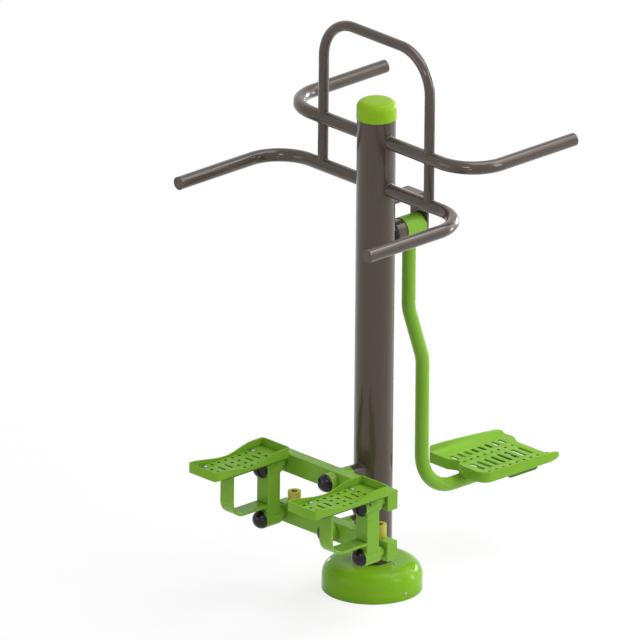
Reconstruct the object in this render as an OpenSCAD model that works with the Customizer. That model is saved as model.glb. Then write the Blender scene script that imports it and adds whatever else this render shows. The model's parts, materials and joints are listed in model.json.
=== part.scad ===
// Outdoor stepper and surf trainer on one post.
// Origin: centre of the base on the ground. +Z is up, the stepper is on the -Y side and
// the swinging foot platform on the +Y side. Lengths are in millimetres.

/* [Post and base] */
// Outside diameter of the post tube
post_d = 140; // [120:1:160]
// Wall of the post tube
post_wall = 4; // [3:0.5:8]
// Height of the post's upper edge over the upper handles' axis
post_over_handles = 120; // [90:1:150]
// Clearance between the rim of the foundation flange and the base cover's wall
flange_side_gap = 26; // [15:1:40]
// Thickness of the flange
flange_t = 16; // [10:1:25]
// Distance of an anchor hole's middle from the flange's rim
anchor_edge = 30; // [22:1:40]
// Diameter of an anchor hole
anchor_hole_d = 18; // [12:1:22]
// Number of anchor holes, with one gusset between each two
anchor_count = 4; // [4:2:6]
// Thickness of a gusset
gusset_t = 8; // [5:1:12]
// Height of a gusset over the flange
gusset_h = 66; // [40:1:70]
// Outside diameter of the moulded base cover
cover_d = 360; // [345:1:380]
// Height of the base cover
cover_h = 107; // [100:1:120]
// Radius of the cover's round shoulder
cover_shoulder_r = 58; // [40:1:70]
// Wall of the base cover
cover_wall = 4; // [3:0.5:6]
// Outside height of the post cap
cap_h = 66; // [56:1:80]
// Wall of the post cap
cap_wall = 2; // [1.5:0.5:5]
// Radius of the cap's round edge
cap_edge_r = 27; // [10:1:40]
// How far the cap reaches down over the post's upper edge
cap_lap = 42; // [20:1:44]

/* [Handles] */
// Outside diameter of the handle tubes
handle_d = 48.3; // [38:0.1:52]
// Wall of the handle tubes
handle_wall = 3; // [2:0.5:4]
// Distance of the lower handles' axis under the upper handles' axis
handle_step_h = 180; // [160:1:200]
// Distance of a handle's grip from the middle plane
handle_span = 484.5; // [440:0.5:540]
// Reach of a handle from the post's axis to its closed end
handle_reach = 507; // [430:1:560]
// Bend radius of the handles on the tube's axis
handle_bend_r = 151; // [100:1:170]
// Thickness of the flat plug on a handle's end
plug_t = 3; // [2:0.5:6]
// Length of the plug's spigot in the tube
plug_spigot = 10; // [5:1:20]
// Outside diameter of the hoop tube
hoop_d = 38; // [30:0.5:42]
// Wall of the hoop tube
hoop_wall = 2.5; // [2:0.5:4]
// Distance of a hoop leg from the middle plane
hoop_span = 272; // [240:1:300]
// Height of the hoop's upper run on its axis
hoop_top_z = 2096; // [2050:1:2150]
// Height of that run over the upper handles' axis
hoop_rise = 386; // [350:1:430]
// Bend radius of the hoop on its axis
hoop_bend_r = 150; // [100:1:190]

/* [Stepper] */
// Height of the upper beam's pivot
upper_pivot_z = 455; // [450:1:470]
// Height of the lower beam's pivot
lower_pivot_z = 263; // [255:1:268]
// Distance of the links' pivots from the middle plane
beam_reach = 254; // [246:1:270]
// Length of beam beyond the links' pivots
beam_overhang = 30; // [24:1:36]
// Height of the rectangular beam
beam_h = 72; // [70:1:78]
// Thickness of the rectangular beam
beam_t = 48; // [40:1:52]
// Wall of the rectangular beam
beam_wall = 4; // [3:0.5:6]
// Distance of the beams' middle from the post's axis
beam_out = 176; // [172:1:182]
// Outside diameter of every pivot sleeve of the stepper
sleeve_d = 68; // [64:1:70]
// Length of a beam's sleeve
beam_sleeve_len = 113; // [108:1:116]
// Length of a link's sleeve
link_sleeve_len = 74; // [72:1:84]
// Clearance between the beams and the links' sleeves, which the collars fill
link_beam_gap = 33; // [31:1:39]
// Side of the square link tube
link_side = 60; // [50:1:62]
// Wall of the square link tube
link_wall = 4; // [3:0.5:6]
// Outside diameter of the pivots' ball bearings
bearing_od = 52; // [47:1:56]
// Width of the pivots' ball bearings
bearing_w = 15; // [12:1:16]
// Diameter of the axles in the bearings
axle_d = 25; // [22:1:28]
// Diameter of the axles' threaded ends
thread_d = 20; // [16:1:20]
// Diameter of the collars that keep the links off the beams
collar_d = 38; // [34:1:46]
// Diameter of the hubs between the post and the beams
hub_d = 66; // [60:1:68]
// Height of the round cap on each sleeve
dome_h = 29; // [26:1:33]
// Wall of the round cap
dome_wall = 3; // [2:0.5:4]
// Width of the strap under each pedal
strap_w = 60; // [50:1:60]
// Thickness of the strap under each pedal
strap_t = 10; // [8:1:12]
// Distance of the strap's front leg from the post's axis
strap_out = 474; // [440:1:500]
// Height of the strap's lower leg
strap_z = 320; // [306:1:340]
// Bend radius of the strap on its middle line
strap_bend_r = 55; // [25:1:60]
// Distance of the rubber buffers from the middle plane
buffer_x = 219; // [190:1:222]
// Diameter of a rubber buffer
buffer_d = 48; // [40:1:50]
// Height of a rubber buffer
buffer_h = 49; // [40:1:49]

/* [Pedals] */
// Width of a pedal
pedal_w = 142; // [136:1:160]
// Length of a pedal
pedal_len = 370; // [340:1:400]
// Distance of the pedal's toe end from the post's axis
pedal_toe_out = 232; // [225:1:233]
// Wall of a pedal
pedal_wall = 5; // [4:0.5:8]
// Height of the pedal's floor over its lower edge
pedal_floor_h = 8; // [8:0.5:12]
// Thickness of the pedal's floor
pedal_floor_t = 5; // [3:0.5:6]
// Height of the pedal's front rim over its lower edge
pedal_front_h = 35; // [30:1:50]
// Height of the side rims' lowest stretch over its lower edge
pedal_dip_h = 13.5; // [12:0.5:22]
// Height of the pedal's toe rim over its lower edge
pedal_toe_h = 37; // [30:1:50]
// Radius of the pedal's corners
pedal_corner_r = 13; // [8:1:24]
// Distance between neighbouring holes of the tread pattern
tread_pitch = 33.5; // [32:0.5:34]
// Diameter of a tread hole
tread_hole_d = 13; // [8:1:15]
// Width of a slot in a pedal's tread
tread_slot_w = 8; // [5:1:12]
// Height of the saddle between a link's upper sleeve and the plate over it
saddle_h = 6; // [4:1:10]
// Thickness of the plate under a pedal
pedal_plate_t = 6; // [5:1:8]
// Diameter of the bolts that hold the pedals and the platform
bolt_d = 10; // [8:1:12]

/* [Swing] */
// Height of the bracket's level leg over the swing's pivot
bracket_rise = 132; // [120:1:145]
// Outside diameter of the swing's sleeve
swing_sleeve_d = 90; // [88:1:96]
// Length of the swing's sleeve
swing_sleeve_len = 90; // [80:1:100]
// Distance of the swing sleeve's near end from the post's axis
swing_sleeve_out = 122; // [115:1:130]
// Outside diameter of the swing's bearings
swing_bearing_od = 80; // [72:1:80]
// Width of the swing's bearings
swing_bearing_w = 18; // [16:1:22]
// Diameter of the swing's axle
swing_axle_d = 40; // [35:1:45]
// Diameter of the swing axle's threaded end
swing_thread_d = 24; // [20:1:30]
// Diameter of the hub between the post and the swing's sleeve
swing_hub_d = 84; // [76:1:88]
// Width of the bent bracket that holds the axle's outer end
bracket_w = 86; // [80:1:100]
// Thickness of the bent bracket
bracket_t = 9; // [8:1:12]
// Distance of the bracket's level leg under the lower handles' axis
bracket_drop = 71; // [55:1:90]
// Bend radius of the bracket on its middle line
bracket_bend_r = 22; // [15:1:35]
// Outside diameter of the swing arm tube
arm_d = 50; // [42:0.5:54]
// Wall of the swing arm tube
arm_wall = 4; // [3:0.5:6]
// Distance of the arm's lower stretch from the post's axis
arm_low_out = 239; // [230:1:255]
// Height of the arm's leaning stretch
arm_lean_h = 210; // [170:1:260]
// Height of the arm's level run under the platform
arm_run_z = 291; // [270:1:300]
// Bend radius of the lean's two bends
arm_lean_bend_r = 150; // [80:1:250]
// Bend radius of the arm's lower bend
arm_bend_r = 152; // [120:1:170]
// Distance of the arm's end from the post's axis
arm_end_out = 690; // [670:1:715]

/* [Platform] */
// Width of the platform
platform_w = 300; // [292:1:320]
// Distance of the platform's near end from the post's axis
platform_near_out = 411; // [405:1:425]
// Distance of the platform's far end from the post's axis
platform_far_out = 738; // [728:1:760]
// Height of the platform's skirt from its lower edge to its low rim
platform_rim_h = 39; // [36:1:50]
// Height of the platform's floor over its lower edge
platform_floor_h = 24.5; // [22:0.5:30]
// Thickness of the platform's floor
platform_floor_t = 6; // [4:0.5:8]
// Wall of the platform
platform_wall = 5; // [4:0.5:8]
// Height of the high side's rim over the lower edge
platform_high_h = 57.5; // [52:0.5:66]
// Width of a slot in the platform's tread
platform_slot_w = 14.5; // [10:0.5:18]
// Radius of the hollow curve at the foot of the high side
platform_cove_r = 46; // [36:1:50]
// Radius of the platform's corners
platform_corner_r = 40; // [20:1:50]
// Thickness of the plate under the platform
platform_plate_t = 8; // [6:1:10]
// Distance of that plate's middle from the post's axis
platform_plate_out = 602; // [595:1:608]
// Length of that plate along the arm
platform_plate_len = 139; // [120:1:150]
// Depth of that plate's folded edges
platform_plate_fold = 12; // [8:1:20]

/* [Hidden] */
$fn = 64;

// Gap at a welded or pressed seam between two pieces of one body
seam_gap = 0.2;
// Radial running clearance of an axle in its bearings
run_gap = 0.05;
// Side clearance between a sleeve and what stands beside it
side_gap = 0.8;
// How far a cutting shape runs past what it cuts
overrun = 1;
// Clearance round a bolt in its hole
bolt_gap = 0.5;

post_r = post_d / 2;
// Heights, each worked out from the ones above it
upper_handle_z = hoop_top_z - hoop_rise;
lower_handle_z = upper_handle_z - handle_step_h;
post_top_z = upper_handle_z + post_over_handles;
bracket_z = lower_handle_z - bracket_drop;
swing_pivot_z = bracket_z - bracket_rise;
arm_lean_mid_share = 0.6;
arm_lean_mid_z = arm_run_z + arm_lean_mid_share * (swing_pivot_z - arm_run_z);
arm_lean_top_z = arm_lean_mid_z + arm_lean_h / 2;
arm_lean_low_z = arm_lean_mid_z - arm_lean_h / 2;

quarter_turn = 90;
half_turn = 180;
full_turn = 360;
left = -1;
right = 1;

green = [0.49, 0.72, 0.16];
shade_brown = [0.36, 0.33, 0.31];
dark_cap = [0.16, 0.13, 0.14];
zinc = [0.78, 0.79, 0.80];
steel = [0.62, 0.63, 0.65];
rubber_yellow = [0.72, 0.70, 0.18];

// Base
cover_r = cover_d / 2;
flange_top_z = flange_t;
gusset_reach_share = 0.7;
gusset_foot_share = 0.2;
flange_d = cover_d - 2 * cover_wall - 2 * flange_side_gap;
anchor_pcd = flange_d - 2 * anchor_edge;
gusset_reach = gusset_reach_share * (flange_d / 2 - post_r);
cover_flat_r = cover_r - cover_shoulder_r;
cover_flat_w = cover_flat_r - post_r;
cover_bore_d = post_d + 2 * seam_gap;
cover_screw_d = 5;
cover_screw_head_d = 11;
cover_screw_head_h = 3;
cover_screw_len = 12;
cover_screw_z = 26;
cover_screw_side_y = 9;
cover_screw_top_r = (post_r + cover_flat_r) / 2;
cover_screw_top_y = 21;
cover_screw_top_x = sqrt(pow(cover_screw_top_r, 2) - pow(cover_screw_top_y, 2));
cover_tab_t = 3;
cover_tab_low_z = 12;
cover_tab_high_z = 42;
cover_tab_half_angle = 6;
cover_tab_w_share = 0.23;
cover_tab_half_w = cover_tab_w_share * cover_flat_w;
cap_d = post_d + 2 * seam_gap + 2 * cap_wall;
cap_rim_z = post_top_z - cap_lap;

// Handles
grip_end = handle_reach - plug_t;
handle_bore_d = handle_d - 2 * handle_wall;

// Stepper
beam_half = beam_reach + beam_overhang;
beam_front_y = -beam_out - beam_t / 2;
beam_back_y = -beam_out + beam_t / 2;
sleeve_bore_d = bearing_od + 2 * run_gap;
bearing_bore_d = axle_d + 2 * run_gap;
beam_sleeve_y0 = -beam_out - beam_sleeve_len / 2 - 2.5 * run_gap;
beam_sleeve_y1 = beam_sleeve_y0 + beam_sleeve_len;
link_sleeve_y1 = beam_front_y - link_beam_gap;
link_sleeve_y0 = link_sleeve_y1 - link_sleeve_len;
link_out = -(link_sleeve_y0 + link_sleeve_y1) / 2;
dome_lip = 6;
bearing_front_set = 8;
bearing_back_set = 2;
bearing_groove_depth = 0.8;
bearing_ring_share = 0.22;
washer_d = 37;
washer_t = 3;
nut_af = 30;
nut_t = 16;
thread_show = 3;
dome_sphere_r = (pow(sleeve_d / 2, 2) + pow(dome_h, 2)) / (2 * dome_h);
beam_axle_root_y = -post_r - seam_gap;
edge_r = 4;
buffer_recess_d = 26;
buffer_recess_h = 12;
buffer_screw_d = 10;
buffer_screw_head_d = 17;
buffer_screw_head_h = 6;
buffer_screw_nut_af = 17;
buffer_screw_nut_t = 8;
lower_beam_top_z = lower_pivot_z + beam_h / 2;

// Pedals
pedal_plate_z = upper_pivot_z + sleeve_d / 2 + saddle_h;
pedal_z = pedal_plate_z + pedal_plate_t + seam_gap;
pedal_front_y = -pedal_toe_out - pedal_len;
pedal_toe_y = -pedal_toe_out;
pedal_plate_side_margin = 4;
pedal_plate_front_margin = 46;
pedal_plate_toe_margin = 16;
saddle_w = 40;
pedal_bolt_row_left = 0;
pedal_bolt_row_right = 1;
tread_rows = 8;
tread_cols = 4;
tread_front_margin = 66;
dip_end_share = 0.5;
toe_start_share = 0.86;
rim_steps = 10;
pedal_boss_d = 20;
rib_t = 4;
bolt_head_d = 20;
bolt_head_h = 5;
bolt_nut_af = 17;
bolt_nut_t = 8;
bolt_tail = 3;

// Swing
swing_sleeve_y0 = swing_sleeve_out;
swing_sleeve_y1 = swing_sleeve_out + swing_sleeve_len;
swing_mid_y = (swing_sleeve_y0 + swing_sleeve_y1) / 2;
bracket_y = swing_sleeve_y1 + side_gap + bracket_t / 2;
swing_nut_af = 36;
swing_nut_t = 12;
swing_washer_d = 44;
swing_washer_t = 3;
swing_bearing_set = 3;

// Platform
platform_plate_z = arm_run_z + arm_d / 2 + seam_gap;
platform_z = platform_plate_z + platform_plate_t + seam_gap;
platform_high_x = -platform_w / 2;
platform_low_x = platform_w / 2;
platform_rows = 8;
// Bolts and ribs under the floor, in shares of the tread's pitch: the bolts from its
// near row, the ribs from the middle plane
platform_bolt_row_shares = [2.5, 5.5];
platform_rib_column_shares = [-1, 3];
platform_tread_margin = 54;
platform_boss_d = 18;
platform_bolt_head_h = 7;
boss_roof = 4;
platform_row0 = platform_near_out + platform_tread_margin;
platform_notch = 18;
platform_lobe = 7;
platform_horn = 37;
platform_end_rise = 4;
fall_power = 1.5;

// Plain round pieces along Y

module rod_y(d, y0, y1) {
    translate([0, y1, 0])
        rotate([quarter_turn, 0, 0])
            cylinder(h = y1 - y0, d = d);
}

module ring_y(od, id, y0, y1) {
    difference() {
        rod_y(od, y0, y1);
        rod_y(id, y0 - overrun, y1 + overrun);
    }
}

module hex_nut_y(af, d, y0, y1) {
    difference() {
        translate([0, y1, 0])
            rotate([quarter_turn, 0, 0])
                cylinder(h = y1 - y0, d = af / cos(30), $fn = 6);
        rod_y(d + 2 * run_gap, y0 - overrun, y1 + overrun);
    }
}

// A run of bar or tube in a plane, straight between its corners and bent at each corner.
// Its section is the child: x points across the run in the plane, y out of the plane.

function heading(p, i) = atan2(p[i + 1][1] - p[i][1], p[i + 1][0] - p[i][0]);

function fold(a) = a > half_turn ? a - full_turn : a < -half_turn ? a + full_turn : a;

function turn(p, i) = fold(heading(p, i) - heading(p, i - 1));

function trim(p, r, i) =
    i == 0 || i == len(p) - 1 ? 0 : r[i - 1] * tan(abs(turn(p, i)) / 2);

module run(p, r) {
    for (i = [0 : len(p) - 2]) {
        straight = norm(p[i + 1] - p[i]) - trim(p, r, i) - trim(p, r, i + 1);
        translate([p[i][0], p[i][1], 0])
            rotate([0, 0, heading(p, i)])
                translate([trim(p, r, i), 0, 0])
                    rotate([quarter_turn, 0, quarter_turn])
                        linear_extrude(height = straight)
                            children();
    }
    for (i = [1 : len(p) - 2]) {
        a = heading(p, i - 1);
        t = turn(p, i);
        side = sign(t);
        cx = p[i][0] - trim(p, r, i) * cos(a) - side * r[i - 1] * sin(a);
        cy = p[i][1] - trim(p, r, i) * sin(a) + side * r[i - 1] * cos(a);
        translate([cx, cy, 0])
            rotate([0, 0, side > 0 ? a - quarter_turn : a + quarter_turn - abs(t)])
                rotate_extrude(angle = abs(t))
                    translate([r[i - 1], 0])
                        children();
    }
}

module tube_section(d, wall) {
    difference() {
        circle(d = d);
        circle(d = d - 2 * wall);
    }
}

// A rectangle with round corners, made of true arcs
module round_rect(w, h, r) {
    square([w - 2 * r, h], center = true);
    square([w, h - 2 * r], center = true);
    for (x = [-1, 1], y = [-1, 1])
        translate([x * (w / 2 - r), y * (h / 2 - r)])
            circle(r = r);
}

module post_solid(gap) {
    translate([0, 0, -overrun])
        cylinder(h = post_top_z + 2 * overrun, r = post_r + gap);
}

// Base

module base_flange() {
    color(steel)
        difference() {
            cylinder(h = flange_t, d = flange_d);
            for (i = [0 : anchor_count - 1])
                rotate([0, 0, i * full_turn / anchor_count])
                    translate([anchor_pcd / 2, 0, -overrun])
                        cylinder(h = flange_t + 2 * overrun, d = anchor_hole_d);
        }
}

module base_gussets() {
    foot = gusset_foot_share * gusset_reach;
    color(steel)
        difference() {
            for (i = [0 : anchor_count - 1])
                rotate([0, 0, (i + 1 / 2) * full_turn / anchor_count])
                    translate([0, gusset_t / 2, flange_top_z + seam_gap])
                        rotate([quarter_turn, 0, 0])
                            linear_extrude(height = gusset_t)
                                polygon([
                                    [post_r - foot, 0],
                                    [post_r + gusset_reach, 0],
                                    [post_r + gusset_reach, foot],
                                    [post_r + foot, gusset_h],
                                    [post_r - foot, gusset_h]]);
            post_solid(seam_gap);
        }
}

module cover_profile(inset) {
    r = cover_shoulder_r;
    square([cover_r - inset, cover_h - r]);
    square([cover_r - r, cover_h - inset]);
    translate([cover_r - r, cover_h - r])
        circle(r = r - inset);
}

module cover_shell() {
    difference() {
        rotate_extrude()
            intersection() {
                cover_profile(0);
                square([cover_d, cover_h]);
            }
        rotate_extrude()
            difference() {
                translate([0, -overrun])
                    intersection() {
                        union() {
                            translate([0, overrun])
                                cover_profile(cover_wall);
                            square([cover_r - cover_wall, 2 * overrun]);
                        }
                        square([cover_d, cover_h]);
                    }
                translate([0, cover_h - cover_wall])
                    square([post_r, cover_wall]);
            }
        translate([0, 0, -overrun])
            cylinder(h = cover_h + 2 * overrun, d = cover_bore_d);
    }
}

// Each place has its own +Z along the screw, with zero on the cover's skin
module cover_screw_places() {
    for (s = [left, right]) {
        rotate([0, 0, s > 0 ? 0 : half_turn])
            rotate([0, 0, -s * asin(cover_screw_side_y / cover_r)])
                translate([cover_r, 0, cover_screw_z])
                    rotate([0, quarter_turn, 0])
                        children();
        translate([s * cover_screw_top_x, cover_screw_top_y, cover_h])
            children();
    }
}

module half_space(side) {
    translate([-cover_d, side > 0 ? seam_gap / 2 : -cover_d - seam_gap / 2, -overrun])
        cube([2 * cover_d, cover_d, cover_h + 2 * overrun]);
}

module cover_screw_holes() {
    cover_screw_places()
        translate([0, 0, -cover_screw_len])
            cylinder(h = 2 * cover_screw_len, d = cover_screw_d + bolt_gap);
}

// Tabs of the front half, which reach under the top of the rear half
module top_tabs() {
    tab_z = cover_h - cover_wall - seam_gap - cover_tab_t;
    for (s = [left, right])
        translate([s * cover_screw_top_x - cover_tab_half_w, 0, tab_z]) {
            translate([0, -cover_tab_half_w, 0])
                cube([
                    2 * cover_tab_half_w,
                    2 * cover_tab_half_w + cover_screw_top_y,
                    cover_tab_t]);
            translate([0, -cover_tab_half_w, 0])
                cube([
                    2 * cover_tab_half_w,
                    cover_tab_half_w - seam_gap,
                    cover_tab_t + seam_gap + cover_wall / 2]);
        }
}

// Tabs of the rear half, which reach inside the wall of the front half
module side_tabs() {
    inner_r = cover_r - cover_wall - seam_gap - cover_tab_t;
    for (s = [left, right])
        mirror([s > 0 ? 0 : 1, 0, 0])
            translate([0, 0, cover_tab_low_z]) {
                rotate([0, 0, -cover_tab_half_angle])
                    rotate_extrude(angle = 2 * cover_tab_half_angle)
                        translate([inner_r, 0])
                            square([cover_tab_t, cover_tab_high_z - cover_tab_low_z]);
                rotate([0, 0, cover_tab_half_angle / 3])
                    rotate_extrude(angle = cover_tab_half_angle / 2)
                        translate([inner_r + cover_tab_t / 2, 0])
                            square([
                                cover_tab_t / 2 + seam_gap + cover_wall / 2,
                                cover_tab_high_z - cover_tab_low_z]);
            }
}

module base_cover_front() {
    color(green)
        difference() {
            union() {
                intersection() {
                    cover_shell();
                    half_space(left);
                }
                top_tabs();
            }
            cover_screw_holes();
        }
}

module base_cover_rear() {
    color(green)
        difference() {
            union() {
                intersection() {
                    cover_shell();
                    half_space(right);
                }
                side_tabs();
            }
            cover_screw_holes();
        }
}

module cover_screws() {
    color(zinc)
        cover_screw_places() {
            translate([0, 0, seam_gap])
                intersection() {
                    cylinder(h = cover_screw_head_h, d = cover_screw_head_d);
                    translate([0, 0, cover_screw_head_h - cover_screw_head_d])
                        sphere(d = 2 * cover_screw_head_d);
                }
            translate([0, 0, seam_gap - cover_screw_len])
                cylinder(h = cover_screw_len + overrun, d = cover_screw_d);
        }
}

module post() {
    color(shade_brown)
        translate([0, 0, flange_top_z + seam_gap])
            difference() {
                cylinder(h = post_top_z - flange_top_z - seam_gap, d = post_d);
                translate([0, 0, -overrun])
                    cylinder(h = post_top_z, d = post_d - 2 * post_wall);
            }
}

module cap_profile(inset) {
    r = cap_d / 2;
    square([r - inset, cap_h - cap_edge_r]);
    square([r - cap_edge_r, cap_h - inset]);
    translate([r - cap_edge_r, cap_h - cap_edge_r])
        circle(r = cap_edge_r - inset);
}

module post_cap() {
    color(green)
        translate([0, 0, cap_rim_z])
            difference() {
                rotate_extrude()
                    intersection() {
                        cap_profile(0);
                        square([cap_d, cap_h]);
                    }
                rotate_extrude()
                    intersection() {
                        cap_profile(cap_wall);
                        square([cap_d, cap_h]);
                    }
                translate([0, 0, -overrun])
                    cylinder(h = 2 * overrun, d = cap_d - 2 * cap_wall);
            }
}

// Handles and hoop

module handle_tube(z, way) {
    path = [
        [sqrt(pow(post_r, 2) - pow(handle_d / 2, 2)) - overrun, 0],
        [handle_span, 0],
        [handle_span, grip_end]];
    difference() {
        translate([0, 0, z])
            mirror([0, way < 0 ? 1 : 0, 0])
                run(path, [handle_bend_r])
                    tube_section(handle_d, handle_wall);
        post_solid(seam_gap);
    }
}

module upper_handle_right() {
    color(shade_brown)
        handle_tube(upper_handle_z, right);
}

module upper_handle_left() {
    color(shade_brown)
        mirror([1, 0, 0])
            handle_tube(upper_handle_z, right);
}

module lower_handle_right() {
    color(shade_brown)
        handle_tube(lower_handle_z, left);
}

module lower_handle_left() {
    color(shade_brown)
        mirror([1, 0, 0])
            handle_tube(lower_handle_z, left);
}

module handle_end_plugs() {
    color(shade_brown)
        for (x = [left, right], way = [left, right])
            translate([x * handle_span, 0, way > 0 ? upper_handle_z : lower_handle_z])
                mirror([0, way < 0 ? 1 : 0, 0]) {
                    rod_y(handle_d, grip_end + seam_gap, handle_reach);
                    rod_y(
                        handle_bore_d - 2 * seam_gap,
                        grip_end - plug_spigot,
                        grip_end + seam_gap + plug_t / 2);
                }
}

module handle_core(z) {
    translate([-handle_span, 0, z])
        rotate([0, quarter_turn, 0])
            cylinder(h = 2 * handle_span, d = handle_d + 2 * seam_gap);
}

module hoop_arch() {
    path = [
        [-hoop_span, upper_handle_z],
        [-hoop_span, hoop_top_z],
        [hoop_span, hoop_top_z],
        [hoop_span, upper_handle_z]];
    color(shade_brown)
        difference() {
            rotate([quarter_turn, 0, 0])
                run(path, [hoop_bend_r, hoop_bend_r])
                    tube_section(hoop_d, hoop_wall);
            handle_core(upper_handle_z);
        }
}

module hoop_struts() {
    color(shade_brown)
        difference() {
            for (x = [left, right])
                translate([x * hoop_span, 0, lower_handle_z])
                    linear_extrude(height = upper_handle_z - lower_handle_z)
                        tube_section(hoop_d, hoop_wall);
            handle_core(upper_handle_z);
            handle_core(lower_handle_z);
        }
}

// Pivots of the stepper

module at_pivots(z_list) {
    for (z = z_list)
        translate([0, 0, z])
            children();
}

module stepper_hubs() {
    color(shade_brown)
        difference() {
            at_pivots([upper_pivot_z, lower_pivot_z])
                ring_y(hub_d, axle_d + 2 * seam_gap, beam_sleeve_y1 + side_gap, 0);
            post_solid(seam_gap);
        }
}

// An axle along -Y with a threaded end inside the cap of the sleeve that turns on it
module pivot_axle(root_y, sleeve_y0) {
    shoulder_y = sleeve_y0 + bearing_front_set;
    end_y = shoulder_y - washer_t - nut_t - 3 * seam_gap - thread_show;
    rod_y(axle_d, shoulder_y, root_y);
    rod_y(thread_d, end_y, shoulder_y + overrun);
}

module pivot_nut(sleeve_y0) {
    washer_y1 = sleeve_y0 + bearing_front_set - seam_gap;
    nut_y1 = washer_y1 - washer_t - seam_gap;
    ring_y(washer_d, thread_d + 2 * seam_gap, washer_y1 - washer_t, washer_y1);
    hex_nut_y(nut_af, thread_d, nut_y1 - nut_t, nut_y1);
}

// A sealed ball bearing: two rings with the seal set back between them
module bearing_y(od, id, w, y0) {
    ring = bearing_ring_share * (od - id) / 2;
    difference() {
        ring_y(od, id, y0, y0 + w);
        ring_y(
            od - 2 * ring, id + 2 * ring,
            y0 - overrun, y0 + bearing_groove_depth);
        ring_y(
            od - 2 * ring, id + 2 * ring,
            y0 + w - bearing_groove_depth, y0 + w + overrun);
    }
}

module pivot_bearings(sleeve_y0, sleeve_y1) {
    bearing_y(bearing_od, bearing_bore_d, bearing_w, sleeve_y0 + bearing_front_set);
    bearing_y(bearing_od, bearing_bore_d, bearing_w, sleeve_y1 - bearing_back_set - bearing_w);
}

module pivot_sleeve(sleeve_y0, sleeve_y1) {
    ring_y(sleeve_d, sleeve_bore_d, sleeve_y0, sleeve_y1);
}

module dome_profile(base_r, sphere_r, height) {
    intersection() {
        translate([0, height - sphere_r])
            circle(r = sphere_r);
        square([base_r, height]);
    }
}

// The round cap on a sleeve, hollow over the nut, with a lip in the sleeve's bore
module dome_cap(sleeve_y0) {
    lip_d = bearing_od - 2 * seam_gap;
    translate([0, sleeve_y0 - seam_gap, 0])
        rotate([quarter_turn, 0, 0])
            difference() {
                union() {
                    rotate_extrude()
                        dome_profile(sleeve_d / 2, dome_sphere_r, dome_h);
                    translate([0, 0, -dome_lip])
                        cylinder(h = dome_lip + overrun, d = lip_d);
                }
                translate([0, 0, -dome_lip - overrun])
                    cylinder(h = dome_lip + 2 * overrun, d = lip_d - 2 * dome_wall);
                rotate_extrude()
                    dome_profile(
                        lip_d / 2 - dome_wall,
                        dome_sphere_r - dome_wall,
                        dome_h - dome_wall);
            }
}

module stepper_axles() {
    color(steel)
        at_pivots([upper_pivot_z, lower_pivot_z])
            pivot_axle(beam_axle_root_y - overrun, beam_sleeve_y0);
}

module stepper_axle_nuts() {
    color(zinc)
        at_pivots([upper_pivot_z, lower_pivot_z])
            pivot_nut(beam_sleeve_y0);
}

// Beams

module beam_tube(z, screw_holes) {
    difference() {
        translate([-beam_half + beam_wall, -beam_out, z])
            rotate([quarter_turn, 0, quarter_turn])
                linear_extrude(height = 2 * (beam_half - beam_wall))
                    difference() {
                        round_rect(beam_t, beam_h, edge_r);
                        square([beam_t - 2 * beam_wall, beam_h - 2 * beam_wall], center = true);
                    }
        translate([0, 0, z])
            rod_y(sleeve_d + 2 * seam_gap, beam_front_y - overrun, beam_back_y + overrun);
        for (x = [left, right])
            translate([x * beam_reach, 0, z])
                rod_y(axle_d + 2 * seam_gap, beam_front_y - overrun, beam_back_y + overrun);
        if (screw_holes)
            for (x = [left, right])
                translate([x * buffer_x, -beam_out, z])
                    cylinder(h = beam_h, d = buffer_screw_d + bolt_gap);
    }
}

module beam_end_plates(z) {
    for (x = [left, right])
        translate([x * (beam_half - beam_wall / 2 + seam_gap / 2), -beam_out, z])
            rotate([quarter_turn, 0, quarter_turn])
                linear_extrude(height = beam_wall - seam_gap, center = true)
                    round_rect(beam_t, beam_h, edge_r);
}

module end_axles(z) {
    for (x = [left, right])
        translate([x * beam_reach, 0, z]) {
            pivot_axle(beam_back_y, link_sleeve_y0);
            rod_y(collar_d, link_sleeve_y1 + side_gap, beam_front_y - seam_gap);
        }
}

module end_nuts(z) {
    for (x = [left, right])
        translate([x * beam_reach, 0, z])
            pivot_nut(link_sleeve_y0);
}

module upper_beam_tube() {
    color(green)
        beam_tube(upper_pivot_z, false);
}

module upper_beam_end_plates() {
    color(green)
        beam_end_plates(upper_pivot_z);
}

module upper_beam_sleeve() {
    color(green)
        at_pivots([upper_pivot_z])
            pivot_sleeve(beam_sleeve_y0, beam_sleeve_y1);
}

module upper_beam_bearings() {
    color(steel)
        at_pivots([upper_pivot_z])
            pivot_bearings(beam_sleeve_y0, beam_sleeve_y1);
}

module upper_beam_cap() {
    color(dark_cap)
        at_pivots([upper_pivot_z])
            dome_cap(beam_sleeve_y0);
}

module upper_end_axles() {
    color(steel)
        end_axles(upper_pivot_z);
}

module upper_end_nuts() {
    color(zinc)
        end_nuts(upper_pivot_z);
}

module lower_beam_tube() {
    color(green)
        beam_tube(lower_pivot_z, true);
}

module lower_beam_end_plates() {
    color(green)
        beam_end_plates(lower_pivot_z);
}

module lower_beam_sleeve() {
    color(green)
        at_pivots([lower_pivot_z])
            pivot_sleeve(beam_sleeve_y0, beam_sleeve_y1);
}

module lower_beam_bearings() {
    color(steel)
        at_pivots([lower_pivot_z])
            pivot_bearings(beam_sleeve_y0, beam_sleeve_y1);
}

module lower_beam_cap() {
    color(dark_cap)
        at_pivots([lower_pivot_z])
            dome_cap(beam_sleeve_y0);
}

module lower_end_axles() {
    color(steel)
        end_axles(lower_pivot_z);
}

module lower_end_nuts() {
    color(zinc)
        end_nuts(lower_pivot_z);
}

// Rubber buffers: they stop the two beams from closing on each other

module at_buffers() {
    for (x = [left, right])
        translate([x * buffer_x, -beam_out, lower_beam_top_z + seam_gap])
            children();
}

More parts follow.
